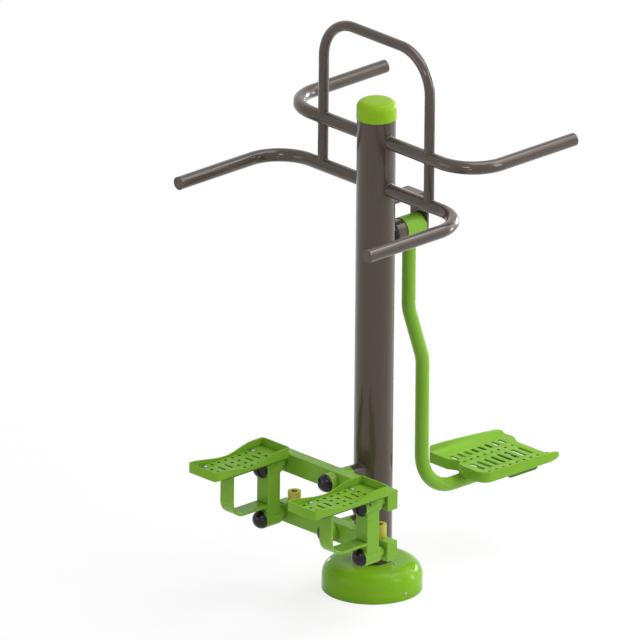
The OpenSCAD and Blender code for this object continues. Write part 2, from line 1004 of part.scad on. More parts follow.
module buffers() {
    color(rubber_yellow)
        at_buffers()
            difference() {
                cylinder(h = buffer_h, d = buffer_d);
                translate([0, 0, buffer_h - buffer_recess_h])
                    cylinder(h = buffer_recess_h + overrun, d = buffer_recess_d);
                translate([0, 0, -overrun])
                    cylinder(h = buffer_h, d = buffer_screw_d + bolt_gap);
            }
}

module buffer_screws() {
    head_z = buffer_h - buffer_recess_h + seam_gap;
    nut_z = -beam_wall - 2 * seam_gap - buffer_screw_nut_t;
    color(zinc)
        at_buffers() {
            translate([0, 0, head_z])
                cylinder(h = buffer_screw_head_h, d = buffer_screw_head_d);
            translate([0, 0, nut_z - bolt_tail])
                cylinder(h = head_z - nut_z + bolt_tail + overrun, d = buffer_screw_d);
            translate([0, 0, nut_z])
                difference() {
                    cylinder(h = buffer_screw_nut_t, d = buffer_screw_nut_af / cos(30), $fn = 6);
                    translate([0, 0, -overrun])
                        cylinder(
                            h = buffer_screw_nut_t + 2 * overrun,
                            d = buffer_screw_d + 2 * run_gap);
                }
        }
}

// Steps: a link between the beams' ends, and the pedal that it carries

module at_step(side) {
    translate([side * beam_reach, 0, 0])
        children();
}

module link_tube() {
    difference() {
        translate([0, -link_out, lower_pivot_z])
            linear_extrude(height = upper_pivot_z - lower_pivot_z)
                difference() {
                    round_rect(link_side, link_side, edge_r);
                    square(link_side - 2 * link_wall, center = true);
                }
        at_pivots([upper_pivot_z, lower_pivot_z])
            rod_y(
                sleeve_d + 2 * seam_gap,
                link_sleeve_y0 - overrun, link_sleeve_y1 + overrun);
    }
}

module strap() {
    path = [
        [-link_out - link_side / 2 - seam_gap, strap_z],
        [-strap_out, strap_z],
        [-strap_out, pedal_plate_z - seam_gap]];
    rotate([quarter_turn, 0, quarter_turn])
        run(path, [strap_bend_r])
            square([strap_t, strap_w], center = true);
}

module step_bolt_places(first_row) {
    for (x = [left, right], row = [first_row, tread_rows - 1])
        translate([
            x * (tread_cols - 1) * tread_pitch / 2,
            pedal_front_y + tread_front_margin + row * tread_pitch,
            0])
            children();
}

module pedal_plate(first_row) {
    front_y = pedal_front_y + pedal_plate_front_margin;
    toe_y = pedal_toe_y - pedal_plate_toe_margin;
    difference() {
        union() {
            translate([0, (front_y + toe_y) / 2, pedal_plate_z])
                linear_extrude(height = pedal_plate_t)
                    round_rect(pedal_w - 2 * pedal_plate_side_margin, toe_y - front_y, edge_r);
            translate([-saddle_w / 2, link_sleeve_y0, upper_pivot_z])
                cube([saddle_w, link_sleeve_len, sleeve_d / 2 + saddle_h + overrun]);
        }
        at_pivots([upper_pivot_z])
            rod_y(
                sleeve_d + 2 * seam_gap,
                link_sleeve_y0 - overrun, link_sleeve_y1 + overrun);
        step_bolt_places(first_row)
            translate([0, 0, pedal_plate_z - overrun])
                cylinder(h = pedal_plate_t + 2 * overrun, d = bolt_d + bolt_gap);
    }
}

// Height of the side rim over the lower edge, for a share of the length from the front
function rim_h(s) =
    s < dip_end_share
    ? pedal_dip_h
        + (pedal_front_h - pedal_dip_h) * (1 + cos(half_turn * s / dip_end_share)) / 2
    : s < toe_start_share
    ? pedal_dip_h + (pedal_toe_h - pedal_dip_h)
        * (1 - cos(half_turn * (s - dip_end_share) / (toe_start_share - dip_end_share))) / 2
    : pedal_toe_h;

rim_top_h = max(pedal_front_h, pedal_toe_h);

module rim_cutter() {
    first = [for (i = [0 : rim_steps]) i / rim_steps * dip_end_share];
    rise = [for (i = [1 : rim_steps])
        dip_end_share + i / rim_steps * (toe_start_share - dip_end_share)];
    curve = [for (s = concat(first, rise)) [pedal_front_y + s * pedal_len, rim_h(s)]];
    rotate([quarter_turn, 0, quarter_turn])
        linear_extrude(height = pedal_w + 2 * overrun, center = true)
            polygon(concat(
                [[pedal_front_y - overrun, rim_top_h + overrun],
                 [pedal_front_y - overrun, rim_h(0)]],
                curve,
                [[pedal_toe_y + overrun, pedal_toe_h],
                 [pedal_toe_y + overrun, rim_top_h + overrun]]));
}

module tread_slot(x0, x1, w) {
    translate([x0, -w / 2])
        square([x1 - x0, w]);
    for (x = [x0, x1])
        translate([x, 0])
            circle(d = w);
}

// Rows of a pedal's tread that have a slot in place of the two middle holes
function row_has_slot(row) = row == 1 || row == 2 || row == 5 || row == 6;

module pedal_tread(first_row) {
    half = tread_pitch / 2;
    outer = (tread_cols - 1) * tread_pitch / 2;
    for (row = [0 : tread_rows - 1])
        translate([0, pedal_front_y + tread_front_margin + row * tread_pitch]) {
            if (row_has_slot(row))
                tread_slot(-half, half, tread_slot_w);
            else
                for (x = [-half, half])
                    translate([x, 0])
                        circle(d = tread_hole_d);
            if (row != first_row && row != tread_rows - 1)
                for (x = [-outer, outer])
                    translate([x, 0])
                        circle(d = tread_hole_d);
        }
}

module pedal(first_row) {
    mid_y = pedal_front_y + pedal_len / 2;
    inner_w = pedal_w - 2 * pedal_wall;
    inner_len = pedal_len - 2 * pedal_wall;
    inner_r = pedal_corner_r - pedal_wall;
    under_h = pedal_floor_h - pedal_floor_t;
    translate([0, 0, pedal_z])
        difference() {
            translate([0, mid_y, 0])
                linear_extrude(height = rim_top_h)
                    round_rect(pedal_w, pedal_len, pedal_corner_r);
            translate([0, mid_y, pedal_floor_h])
                linear_extrude(height = rim_top_h)
                    round_rect(inner_w, inner_len, inner_r);
            translate([0, 0, -overrun])
                linear_extrude(height = under_h + overrun)
                    difference() {
                        translate([0, mid_y])
                            round_rect(inner_w, inner_len, inner_r);
                        step_bolt_places(first_row)
                            circle(d = pedal_boss_d);
                        for (x = [-1, 1])
                            translate([x * tread_pitch - rib_t / 2, pedal_front_y])
                                square([rib_t, pedal_len]);
                    }
            rim_cutter();
            translate([0, 0, -overrun])
                linear_extrude(height = pedal_floor_h + 2 * overrun)
                    pedal_tread(first_row);
            step_bolt_places(first_row)
                translate([0, 0, -overrun])
                    cylinder(h = pedal_floor_h + 2 * overrun, d = bolt_d + bolt_gap);
        }
}

// A bolt with a low round head, from above, with its nut below
module bolt_and_nut(grip) {
    tail_z = -grip - bolt_nut_t - 2 * seam_gap - bolt_tail;
    intersection() {
        cylinder(h = bolt_head_h, d = bolt_head_d);
        translate([0, 0, bolt_head_h - bolt_head_d])
            sphere(d = 2 * bolt_head_d);
    }
    translate([0, 0, tail_z])
        cylinder(h = overrun - tail_z, d = bolt_d);
    translate([0, 0, -grip - seam_gap - bolt_nut_t])
        difference() {
            cylinder(h = bolt_nut_t, d = bolt_nut_af / cos(30), $fn = 6);
            translate([0, 0, -overrun])
                cylinder(h = bolt_nut_t + 2 * overrun, d = bolt_d + 2 * run_gap);
        }
}

module pedal_bolts(first_row) {
    head_z = pedal_z + pedal_floor_h + seam_gap;
    step_bolt_places(first_row)
        translate([0, 0, head_z])
            bolt_and_nut(head_z - pedal_plate_z);
}

module link_sleeves() {
    at_pivots([upper_pivot_z, lower_pivot_z])
        pivot_sleeve(link_sleeve_y0, link_sleeve_y1);
}

module link_bearings() {
    at_pivots([upper_pivot_z, lower_pivot_z])
        pivot_bearings(link_sleeve_y0, link_sleeve_y1);
}

module link_caps() {
    at_pivots([upper_pivot_z, lower_pivot_z])
        dome_cap(link_sleeve_y0);
}

module left_link_tube() {
    color(green)
        at_step(left)
            link_tube();
}

module left_link_sleeves() {
    color(green)
        at_step(left)
            link_sleeves();
}

module left_bearings() {
    color(steel)
        at_step(left)
            link_bearings();
}

module left_caps() {
    color(dark_cap)
        at_step(left)
            link_caps();
}

module left_strap() {
    color(green)
        at_step(left)
            strap();
}

module left_pedal_plate() {
    color(green)
        at_step(left)
            pedal_plate(pedal_bolt_row_left);
}

module left_pedal() {
    color(green)
        at_step(left)
            pedal(pedal_bolt_row_left);
}

module left_pedal_bolts() {
    color(zinc)
        at_step(left)
            pedal_bolts(pedal_bolt_row_left);
}

module right_link_tube() {
    color(green)
        at_step(right)
            link_tube();
}

module right_link_sleeves() {
    color(green)
        at_step(right)
            link_sleeves();
}

module right_bearings() {
    color(steel)
        at_step(right)
            link_bearings();
}

module right_caps() {
    color(dark_cap)
        at_step(right)
            link_caps();
}

module right_strap() {
    color(green)
        at_step(right)
            strap();
}

module right_pedal_plate() {
    color(green)
        at_step(right)
            pedal_plate(pedal_bolt_row_right);
}

module right_pedal() {
    color(green)
        at_step(right)
            pedal(pedal_bolt_row_right);
}

module right_pedal_bolts() {
    color(zinc)
        at_step(right)
            pedal_bolts(pedal_bolt_row_right);
}

// Swing

module at_swing_pivot() {
    translate([0, 0, swing_pivot_z])
        children();
}

module swing_hub() {
    color(shade_brown)
        difference() {
            at_swing_pivot()
                ring_y(
                    swing_hub_d, swing_axle_d + 2 * seam_gap,
                    0, swing_sleeve_y0 - side_gap);
            post_solid(seam_gap);
        }
}

module swing_axle() {
    shoulder_y = bracket_y - bracket_t / 2 - seam_gap;
    end_y = bracket_y + bracket_t / 2 + swing_washer_t + swing_nut_t + thread_show;
    color(steel)
        at_swing_pivot() {
            rod_y(swing_axle_d, post_r + seam_gap + overrun, shoulder_y);
            rod_y(swing_thread_d, shoulder_y - overrun, end_y);
        }
}

module swing_axle_nut() {
    washer_y = bracket_y + bracket_t / 2 + seam_gap;
    nut_y = washer_y + swing_washer_t + seam_gap;
    color(zinc)
        at_swing_pivot() {
            ring_y(
                swing_washer_d, swing_thread_d + 2 * seam_gap,
                washer_y, washer_y + swing_washer_t);
            hex_nut_y(swing_nut_af, swing_thread_d, nut_y, nut_y + swing_nut_t);
        }
}

module swing_bracket() {
    path = [
        [sqrt(pow(post_r, 2) - pow(bracket_w / 2, 2)) - overrun, bracket_z],
        [bracket_y, bracket_z],
        [bracket_y, swing_pivot_z]];
    color(shade_brown)
        difference() {
            union() {
                rotate([quarter_turn, 0, quarter_turn])
                    run(path, [bracket_bend_r])
                        square([bracket_t, bracket_w], center = true);
                at_swing_pivot()
                    rod_y(bracket_w, bracket_y - bracket_t / 2, bracket_y + bracket_t / 2);
            }
            post_solid(seam_gap);
            at_swing_pivot()
                rod_y(swing_thread_d + 2 * seam_gap, bracket_y - bracket_t, bracket_y + bracket_t);
        }
}

module swing_sleeve() {
    color(green)
        at_swing_pivot()
            ring_y(
                swing_sleeve_d, swing_bearing_od + 2 * run_gap,
                swing_sleeve_y0, swing_sleeve_y1);
}

module swing_bearings() {
    color(steel)
        at_swing_pivot() {
            bearing_y(
                swing_bearing_od, swing_axle_d + 2 * run_gap, swing_bearing_w,
                swing_sleeve_y0 + swing_bearing_set);
            bearing_y(
                swing_bearing_od, swing_axle_d + 2 * run_gap, swing_bearing_w,
                swing_sleeve_y1 - swing_bearing_set - swing_bearing_w);
        }
}

module swing_arm() {
    path = [
        [swing_mid_y, swing_pivot_z],
        [swing_mid_y, arm_lean_top_z],
        [arm_low_out, arm_lean_low_z],
        [arm_low_out, arm_run_z],
        [arm_end_out, arm_run_z]];
    color(green)
        difference() {
            rotate([quarter_turn, 0, quarter_turn])
                run(path, [arm_lean_bend_r, arm_lean_bend_r, arm_bend_r])
                    tube_section(arm_d, arm_wall);
            at_swing_pivot()
                rod_y(
                    swing_sleeve_d + 2 * seam_gap,
                    swing_sleeve_y0 - overrun, swing_sleeve_y1 + overrun);
        }
}

module swing_arm_plug() {
    color(dark_cap)
        translate([0, 0, arm_run_z]) {
            rod_y(arm_d, arm_end_out + seam_gap, arm_end_out + plug_t);
            rod_y(
                arm_d - 2 * arm_wall - 2 * seam_gap,
                arm_end_out - plug_spigot, arm_end_out + plug_t - seam_gap);
        }
}

// Platform

plate_half_w = platform_w / 2 - platform_wall;
platform_cove_x = platform_high_x + platform_cove_r + 0.2 * platform_wall;
platform_bolt_x = platform_bolt_row_shares[0] * tread_pitch;

// Between two rows of the tread, where a boss under the floor leaves the slots free
module platform_bolt_places() {
    for (x = [left, right], row = platform_bolt_row_shares)
        translate([x * platform_bolt_x, platform_row0 + row * tread_pitch, 0])
            children();
}

module platform_plate() {
    t = platform_plate_t;
    fold = platform_plate_fold;
    color(green)
        difference() {
            translate([0, platform_plate_out + platform_plate_len / 2, platform_plate_z])
                rotate([quarter_turn, 0, 0])
                    linear_extrude(height = platform_plate_len)
                        difference() {
                            translate([-plate_half_w, t - fold])
                                square([2 * plate_half_w, fold]);
                            translate([-plate_half_w + t, -fold])
                                square([2 * plate_half_w - 2 * t, fold]);
                        }
            platform_bolt_places()
                translate([0, 0, platform_plate_z - overrun])
                    cylinder(h = t + 2 * overrun, d = bolt_d + bolt_gap);
        }
}

corner_steps = 6;

function arc(cx, cy, r, a0, a1) =
    [for (i = [0 : corner_steps])
        let (a = a0 + (a1 - a0) * i / corner_steps)
        [cx + r * cos(a), cy + r * sin(a)]];

// Plan of the platform, drawn in by inset: a notch and a swell on the near end, and a
// corner that stands out at each side of the far end
function platform_plan(inset) =
    let (
        x0 = platform_high_x + inset,
        x1 = platform_low_x - inset,
        y0 = platform_near_out + inset,
        y1 = platform_far_out - inset,
        r = platform_corner_r,
        c = platform_corner_r / 2,
        h = platform_horn)
    concat(
        arc(x0 + c, y0 + c, c, half_turn, half_turn + quarter_turn),
        [[-1.2 * r, y0],
         [-0.35 * r, y0 + platform_notch],
         [0.1 * r, y0 + platform_notch],
         [0.3 * r, y0],
         [r, y0 - platform_lobe]],
        arc(x1 - r, y0 - platform_lobe + r, r, -quarter_turn, 0),
        [[x1, y1 + 0.92 * h],
         [x1 - 0.05 * h, y1 + h],
         [x1 - 0.3 * h, y1 + h],
         [x1 - 0.7 * h, y1 + 0.3 * h],
         [x1 - 1.1 * h, y1]],
        [[x0 + 3.3 * h, y1],
         [x0 + 2.8 * h, y1 + 0.25 * h],
         [x0 + 2.3 * h, y1 + 0.6 * h],
         [x0 + 1.8 * h, y1 + 0.75 * h],
         [x0 + 0.9 * h, y1 + 0.55 * h]],
        arc(x0 + c, y1 + 0.65 * h - c, c, quarter_turn, half_turn));

module platform_tread() {
    slot_in = (platform_slot_w - tread_slot_w) / 2;
    for (row = [0 : platform_rows - 1])
        translate([0, platform_row0 + row * tread_pitch]) {
            tread_slot(slot_in - 2.5 * tread_pitch, -1.5 * tread_pitch - slot_in, platform_slot_w);
            tread_slot(0.5 * tread_pitch + slot_in, 2.5 * tread_pitch - slot_in, platform_slot_w);
            for (x = [-0.5 * tread_pitch, 3.4 * tread_pitch])
                translate([x, 0])
                    circle(d = tread_hole_d);
        }
}

// Side view of what is cut away over a rim: height h0 near, h1 far, with an even fall
module rim_fall(x0, x1, h0, h1, fall_start) {
    y0 = platform_near_out - 2 * platform_lobe;
    y1 = platform_far_out + platform_horn;
    translate([(x0 + x1) / 2, 0, 0])
        rotate([quarter_turn, 0, quarter_turn])
            linear_extrude(height = x1 - x0, center = true)
                polygon(concat(
                    [[y0, platform_high_h + overrun], [y0, h0]],
                    [for (i = [0 : rim_steps])
                        let (s = i / rim_steps)
                        [fall_start + s * (y1 - fall_start), h0 + (h1 - h0) * pow(s, fall_power)]],
                    [[y1 + overrun, h1], [y1 + overrun, platform_high_h + overrun]]));
}

// Cut over the near end's wall, so that it isn't higher in the hollow than beside it
module platform_near_end() {
    intersection() {
        translate([platform_cove_x, platform_near_out, platform_floor_h + platform_cove_r])
            rod_y(2 * platform_cove_r, -platform_wall, 2 * platform_wall);
        translate([platform_high_x, 0, platform_rim_h])
            cube([platform_cove_x - platform_high_x, platform_far_out, platform_high_h]);
    }
}

// Cut round the far corner of the low side, which leaves it with a round nose
module platform_nose() {
    r = (platform_floor_h + platform_end_rise) / 2;
    nose_y = platform_far_out + platform_horn - r;
    translate([platform_low_x - 1.1 * platform_horn, 0, 0])
        rotate([quarter_turn, 0, quarter_turn])
            linear_extrude(height = 1.1 * platform_horn + overrun)
                difference() {
                    translate([nose_y, -r])
                        square([2 * r, 4 * r]);
                    translate([nose_y, r])
                        circle(r = r);
                }
}

module platform() {
    cove_x = platform_cove_x;
    under_h = platform_floor_h - platform_floor_t;
    color(green)
        translate([0, 0, platform_z])
            difference() {
                linear_extrude(height = platform_high_h)
                    polygon(platform_plan(0));
                translate([0, 0, platform_floor_h])
                    intersection() {
                        linear_extrude(height = platform_high_h)
                            polygon(platform_plan(platform_wall));
                        translate([cove_x, 0, 0])
                            cube([platform_w, 2 * platform_far_out, platform_high_h]);
                    }
                intersection() {
                    linear_extrude(height = 2 * platform_high_h)
                        polygon(platform_plan(0.2 * platform_wall));
                    translate([cove_x, platform_near_out, platform_floor_h + platform_cove_r])
                        rod_y(
                            2 * platform_cove_r,
                            platform_wall,
                            platform_far_out - platform_near_out - platform_wall);
                }
                translate([0, 0, -overrun])
                    linear_extrude(height = under_h + overrun)
                        difference() {
                            polygon(platform_plan(platform_wall));
                            platform_bolt_places()
                                circle(d = platform_boss_d);
                            for (x = platform_rib_column_shares)
                                translate([
                                    x * tread_pitch - rib_t / 2,
                                    platform_near_out])
                                    square([rib_t, platform_far_out - platform_near_out]);
                        }
                rim_fall(
                    platform_high_x - overrun, cove_x,
                    platform_high_h, platform_floor_h + platform_floor_t,
                    platform_near_out);
                rim_fall(
                    cove_x, platform_low_x + overrun,
                    platform_rim_h, platform_floor_h + platform_end_rise,
                    platform_plate_out);
                platform_near_end();
                platform_nose();
                translate([0, 0, -overrun])
                    linear_extrude(height = platform_rim_h)
                        platform_tread();
                translate([
                    platform_high_x + 3.3 * platform_horn,
                    platform_far_out - 2 * platform_wall,
                    platform_floor_h])
                    cube([
                        platform_w - 4.4 * platform_horn,
                        4 * platform_wall,
                        platform_high_h]);
                platform_bolt_places()
                    translate([0, 0, -overrun])
                        cylinder(
                            h = platform_floor_h - boss_roof + overrun,
                            d = bolt_d + bolt_gap);
            }
}

// Hexagon bolts from below, through the plate and into the bosses
module platform_bolts() {
    head_z = platform_plate_z - seam_gap - platform_bolt_head_h;
    color(zinc)
        platform_bolt_places() {
            translate([0, 0, head_z])
                cylinder(h = platform_bolt_head_h, d = bolt_nut_af / cos(30), $fn = 6);
            translate([0, 0, head_z])
                cylinder(
                    h = platform_z + platform_floor_h - boss_roof - bolt_gap - head_z,
                    d = bolt_d);
        }
}

base_flange();
base_gussets();
base_cover_front();
base_cover_rear();
cover_screws();
post();
post_cap();
upper_handle_left();
upper_handle_right();
lower_handle_left();
lower_handle_right();
handle_end_plugs();
hoop_arch();
hoop_struts();
stepper_hubs();
stepper_axles();
stepper_axle_nuts();
swing_hub();
swing_axle();
swing_axle_nut();
swing_bracket();
upper_beam_tube();
upper_beam_end_plates();
upper_beam_sleeve();
upper_beam_bearings();
upper_beam_cap();
upper_end_axles();
upper_end_nuts();
lower_beam_tube();
lower_beam_end_plates();
lower_beam_sleeve();
lower_beam_bearings();
lower_beam_cap();
lower_end_axles();
lower_end_nuts();
buffers();
buffer_screws();
left_link_tube();
left_link_sleeves();
left_bearings();
left_caps();
left_strap();
left_pedal_plate();
left_pedal();
left_pedal_bolts();
right_link_tube();
right_link_sleeves();
right_bearings();
right_caps();
right_strap();
right_pedal_plate();
right_pedal();
right_pedal_bolts();
swing_sleeve();
swing_bearings();
swing_arm();
swing_arm_plug();
platform_plate();
platform();
platform_bolts();
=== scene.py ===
# %% [markdown]
# # Dressing an outdoor stepper and surf trainer
# The real station is welded steel tube, powder coated in two colours: a brown-grey for
# what stands still and a yellow-green for what moves. The CAD model already has its
# shapes, so this lesson adds what CAD leaves out: paint, cast grain, weld beads, rounded
# edges and small fittings. It then lights them as a plain studio would.

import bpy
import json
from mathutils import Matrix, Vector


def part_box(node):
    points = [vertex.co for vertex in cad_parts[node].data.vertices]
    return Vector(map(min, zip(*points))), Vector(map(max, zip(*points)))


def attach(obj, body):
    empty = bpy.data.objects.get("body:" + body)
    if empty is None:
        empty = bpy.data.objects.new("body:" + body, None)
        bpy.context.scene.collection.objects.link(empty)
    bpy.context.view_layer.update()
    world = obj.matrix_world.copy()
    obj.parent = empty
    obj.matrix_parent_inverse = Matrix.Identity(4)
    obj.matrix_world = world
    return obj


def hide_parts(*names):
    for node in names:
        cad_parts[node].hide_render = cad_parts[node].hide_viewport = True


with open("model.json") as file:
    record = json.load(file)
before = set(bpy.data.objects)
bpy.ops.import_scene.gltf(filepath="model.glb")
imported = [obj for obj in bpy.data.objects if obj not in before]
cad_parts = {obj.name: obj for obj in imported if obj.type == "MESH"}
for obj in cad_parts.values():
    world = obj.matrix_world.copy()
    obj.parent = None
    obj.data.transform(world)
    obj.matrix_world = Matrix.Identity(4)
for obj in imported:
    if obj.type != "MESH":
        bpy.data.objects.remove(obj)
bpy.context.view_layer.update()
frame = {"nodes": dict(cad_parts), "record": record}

# %% [markdown]
# Blender works in metres and workshop drawings in millimetres, so one name for a
# millimetre keeps every size readable. The other imports are Blender's own modules and
# numpy, which works out whole surfaces at once. The record that came with the model says
# which body moves each node and which material slot it has.

# %% Units and imports
import json

import bmesh
import bpy
import numpy as np
from mathutils import Matrix, Vector

MM = 0.001
TURN = 2 * np.pi
NODES = frame["nodes"]
BODIES = frame["record"]["behaviour"]["bodies"]
BODY_OF = {node: body for body, members in BODIES.items() for node in members}
SLOT_OF = {row["node"]: row["material_slot"] for row in frame["record"]["subparts"]}
print("CAD nodes:", len(NODES), "bodies:", len(BODIES))

# %% [markdown]
# A colour picked on a screen is an sRGB hex code, but Blender mixes light in linear
# values. One function does the turning, so each finish can be written as it looks.

# %% Colours
def linear(code):
    """sRGB hex to linear RGBA: c/12.92 below 0.04045, else ((c + 0.055)/1.055)^2.4."""
    c = np.array([int(code[i:i + 2], 16) for i in (1, 3, 5)]) / 255
    c = np.where(c <= 0.04045, c / 12.92, ((c + 0.055) / 1.055) ** 2.4)
    return (*c.tolist(), 1.0)


print("mid grey #808080 is linear", round(linear("#808080")[0], 3))

# %% [markdown]
# A material is a graph of nodes. One helper adds a node, sets its properties and fills
# its inputs: an input that is given a socket gets a link, any other gets the value. The
# Mix node has sockets of one name for several kinds of data, so the numbers of its
# colour sockets get names here.

# %% Adding a node
FACTOR, FIRST, SECOND, MIXED = 0, 6, 7, 2
COLOUR_MIX = {"data_type": "RGBA"}


def add(tree, kind, props=None, inputs=None):
    """Adds one shader node, with its properties and with values or links for its inputs."""
    made = tree.nodes.new("ShaderNode" + kind)
    for key, value in (props or {}).items():
        setattr(made, key, value)
    for key, value in (inputs or {}).items():
        if isinstance(value, bpy.types.NodeSocket):
            tree.links.new(value, made.inputs[key])
        else:
            made.inputs[key].default_value = value
    return made


def fresh_material(name):
    """An empty node material with its output, and Object coordinates in metres."""
    material = bpy.data.materials.new(name)
    material.use_nodes = True
    tree = material.node_tree
    tree.nodes.clear()
    out = add(tree, "OutputMaterial")
    place = add(tree, "TexCoord").outputs["Object"]
    return material, tree, out, place


def per_metre(mm):
    """Texture scale for a pattern that repeats about every so many millimetres."""
    return 1.0 / (mm * MM)


print("a 5 mm pattern has scale", per_metre(5))

# %% [markdown]
# ## Powder coat on welded steel
# Powder coat is a polyester paint baked on the steel. It flows out to a glossy skin with
# a slight orange peel. Sharp edges are painted lighter, partly for the thinner coat there
# and partly as a painted highlight, and corners are painted darker as painted shade. A
# painted texture could hold all this, but it would need flat layouts for sixty pieces.
# Nodes read the shape instead: an edge is where the Bevel node's rounded normal turns away
# from the surface's own, and a corner is where Ambient Occlusion falls, so both follow the
# object and not the camera.
#
# The peel is drawn at 5 mm, about twice its real size, so that it still breaks up the
# highlights at this distance. The brown tubes, which hands keep polishing, have a clear
# coat over the softer shine of the paint. The post is drawn tube, whose faint lines
# along its length show through the paint as a streaky gloss.

# %% The powder coat's graph
def powder_coat(name, mid, deep, edge_highlight, corner_shade_colour, rough=0.16, shine=0.25, coat=0.0,
                peel_mm=5.0, peel=0.12, edge_mm=1.6, drawn=0.0):
    """Paint: deep to mid by a broad noise, a painted highlight on edges, painted shade in
    corners.

    Its relief is the peel's noise, plus drawn times a noise stretched 100 times along z.
    """
    material, tree, out, place = fresh_material(name)
    broad = add(tree, "TexNoise", inputs={
        "Vector": place, "Scale": per_metre(170), "Detail": 3.0}).outputs["Fac"]
    body = add(tree, "Mix", COLOUR_MIX, {
        FACTOR: broad, FIRST: linear(deep), SECOND: linear(mid)}).outputs[MIXED]
    round_edge = add(tree, "Bevel", {"samples": 6}, {"Radius": edge_mm * MM}).outputs[0]
    straight = add(tree, "NewGeometry").outputs["Normal"]
    agree = add(tree, "VectorMath", {"operation": "DOT_PRODUCT"}, {
        0: round_edge, 1: straight}).outputs["Value"]
    # Painted highlight, partly thinner paint: sharp edges are mixed towards a lighter
    # colour.
    edge = add(tree, "MapRange", inputs={
        "Value": agree, "From Min": 0.99, "From Max": 0.80,
        "To Min": 0.0, "To Max": 0.6}).outputs[0]
    edge_highlighted = add(tree, "Mix", COLOUR_MIX, {
        FACTOR: edge, FIRST: body, SECOND: linear(edge_highlight)}).outputs[MIXED]
    # Painted shade: where Ambient Occlusion finds a corner, the colour goes darker.
    corner = add(tree, "AmbientOcclusion", {"samples": 8}, {
        "Distance": 16 * MM}).outputs["AO"]
    corner_shade_share = add(tree, "MapRange", inputs={
        "Value": corner, "From Min": 0.25, "From Max": 0.8,
        "To Min": 0.85, "To Max": 0.0}).outputs[0]
    colour = add(tree, "Mix", COLOUR_MIX, {
        FACTOR: corner_shade_share, FIRST: edge_highlighted, SECOND: linear(corner_shade_colour)}).outputs[MIXED]
    relief = add(tree, "TexNoise", inputs={
        "Vector": place, "Scale": per_metre(peel_mm), "Detail": 1.5}).outputs["Fac"]
    if drawn:
        long_way = add(tree, "VectorMath", {"operation": "MULTIPLY"}, {
            0: place, 1: (1.0, 1.0, 0.01)}).outputs["Vector"]
        lines = add(tree, "TexNoise", inputs={
            "Vector": long_way, "Scale": per_metre(7), "Detail": 2.0}).outputs["Fac"]
        relief = add(tree, "Math", {"operation": "MULTIPLY_ADD"}, {
            0: lines, 1: drawn, 2: relief}).outputs[0]
    bumpy = add(tree, "Bump", inputs={
        "Height": relief, "Strength": peel, "Distance": 0.4 * MM,
        "Normal": round_edge}).outputs[0]
    haze = add(tree, "MapRange", inputs={
        "Value": broad, "To Min": rough, "To Max": rough + 0.08}).outputs[0]
    paint = add(tree, "BsdfPrincipled", inputs={
        "Base Color": colour, "Roughness": haze, "Normal": bumpy, "IOR": 1.5,
        "Specular IOR Level": shine, "Coat Weight": coat, "Coat Roughness": 0.12,
        "Coat IOR": 1.5, "Coat Normal": bumpy})
    tree.links.new(paint.outputs[0], out.inputs["Surface"])
    return material


BROWN = powder_coat("powder_coat_brown_grey", "#4A3F36", "#40372E", "#756B62", "#231F1B",
                    coat=0.45, peel=0.06)
BROWN_POST = powder_coat("powder_coat_brown_grey_on_drawn_tube", "#473C32", "#3F352C",
                         "#756B62", "#231F1B", coat=0.45, drawn=2.0, peel=0.09)
GREEN = powder_coat("powder_coat_yellow_green", "#79A734", "#6F9D2E", "#A6CC38", "#2A4412",
                    shine=0.15, peel=0.05)
# A darker copy of the green for the plates under the treads: painted shade.
GREEN_SHADED = powder_coat("powder_coat_green_painted_shade", "#4C7A22", "#3A5F1C",
                          "#6E9C34", "#22330F", rough=0.35, shine=0.15)
print("made", BROWN.name, BROWN_POST.name, GREEN.name, GREEN_SHADED.name)

# %% [markdown]
# The treads are cast aluminium under the same green coat. The sand of the mould leaves a
# grain that the paint rounds but doesn't hide. It could be modelled, at millions of
# faces, but no outline would show it, so the same graph gets a finer and stronger
# relief. Grain of 1.5 mm is drawn at 3 mm to show at this distance.

# %% Coated casting
GREEN_CAST = powder_coat(
    "powder_coated_cast_aluminium", "#78A830", "#6E9C2A", "#A6CE3C", "#2A4412",
    rough=0.24, shine=0.08, peel_mm=3.0, peel=0.22, edge_mm=1.2)
print("made", GREEN_CAST.name)
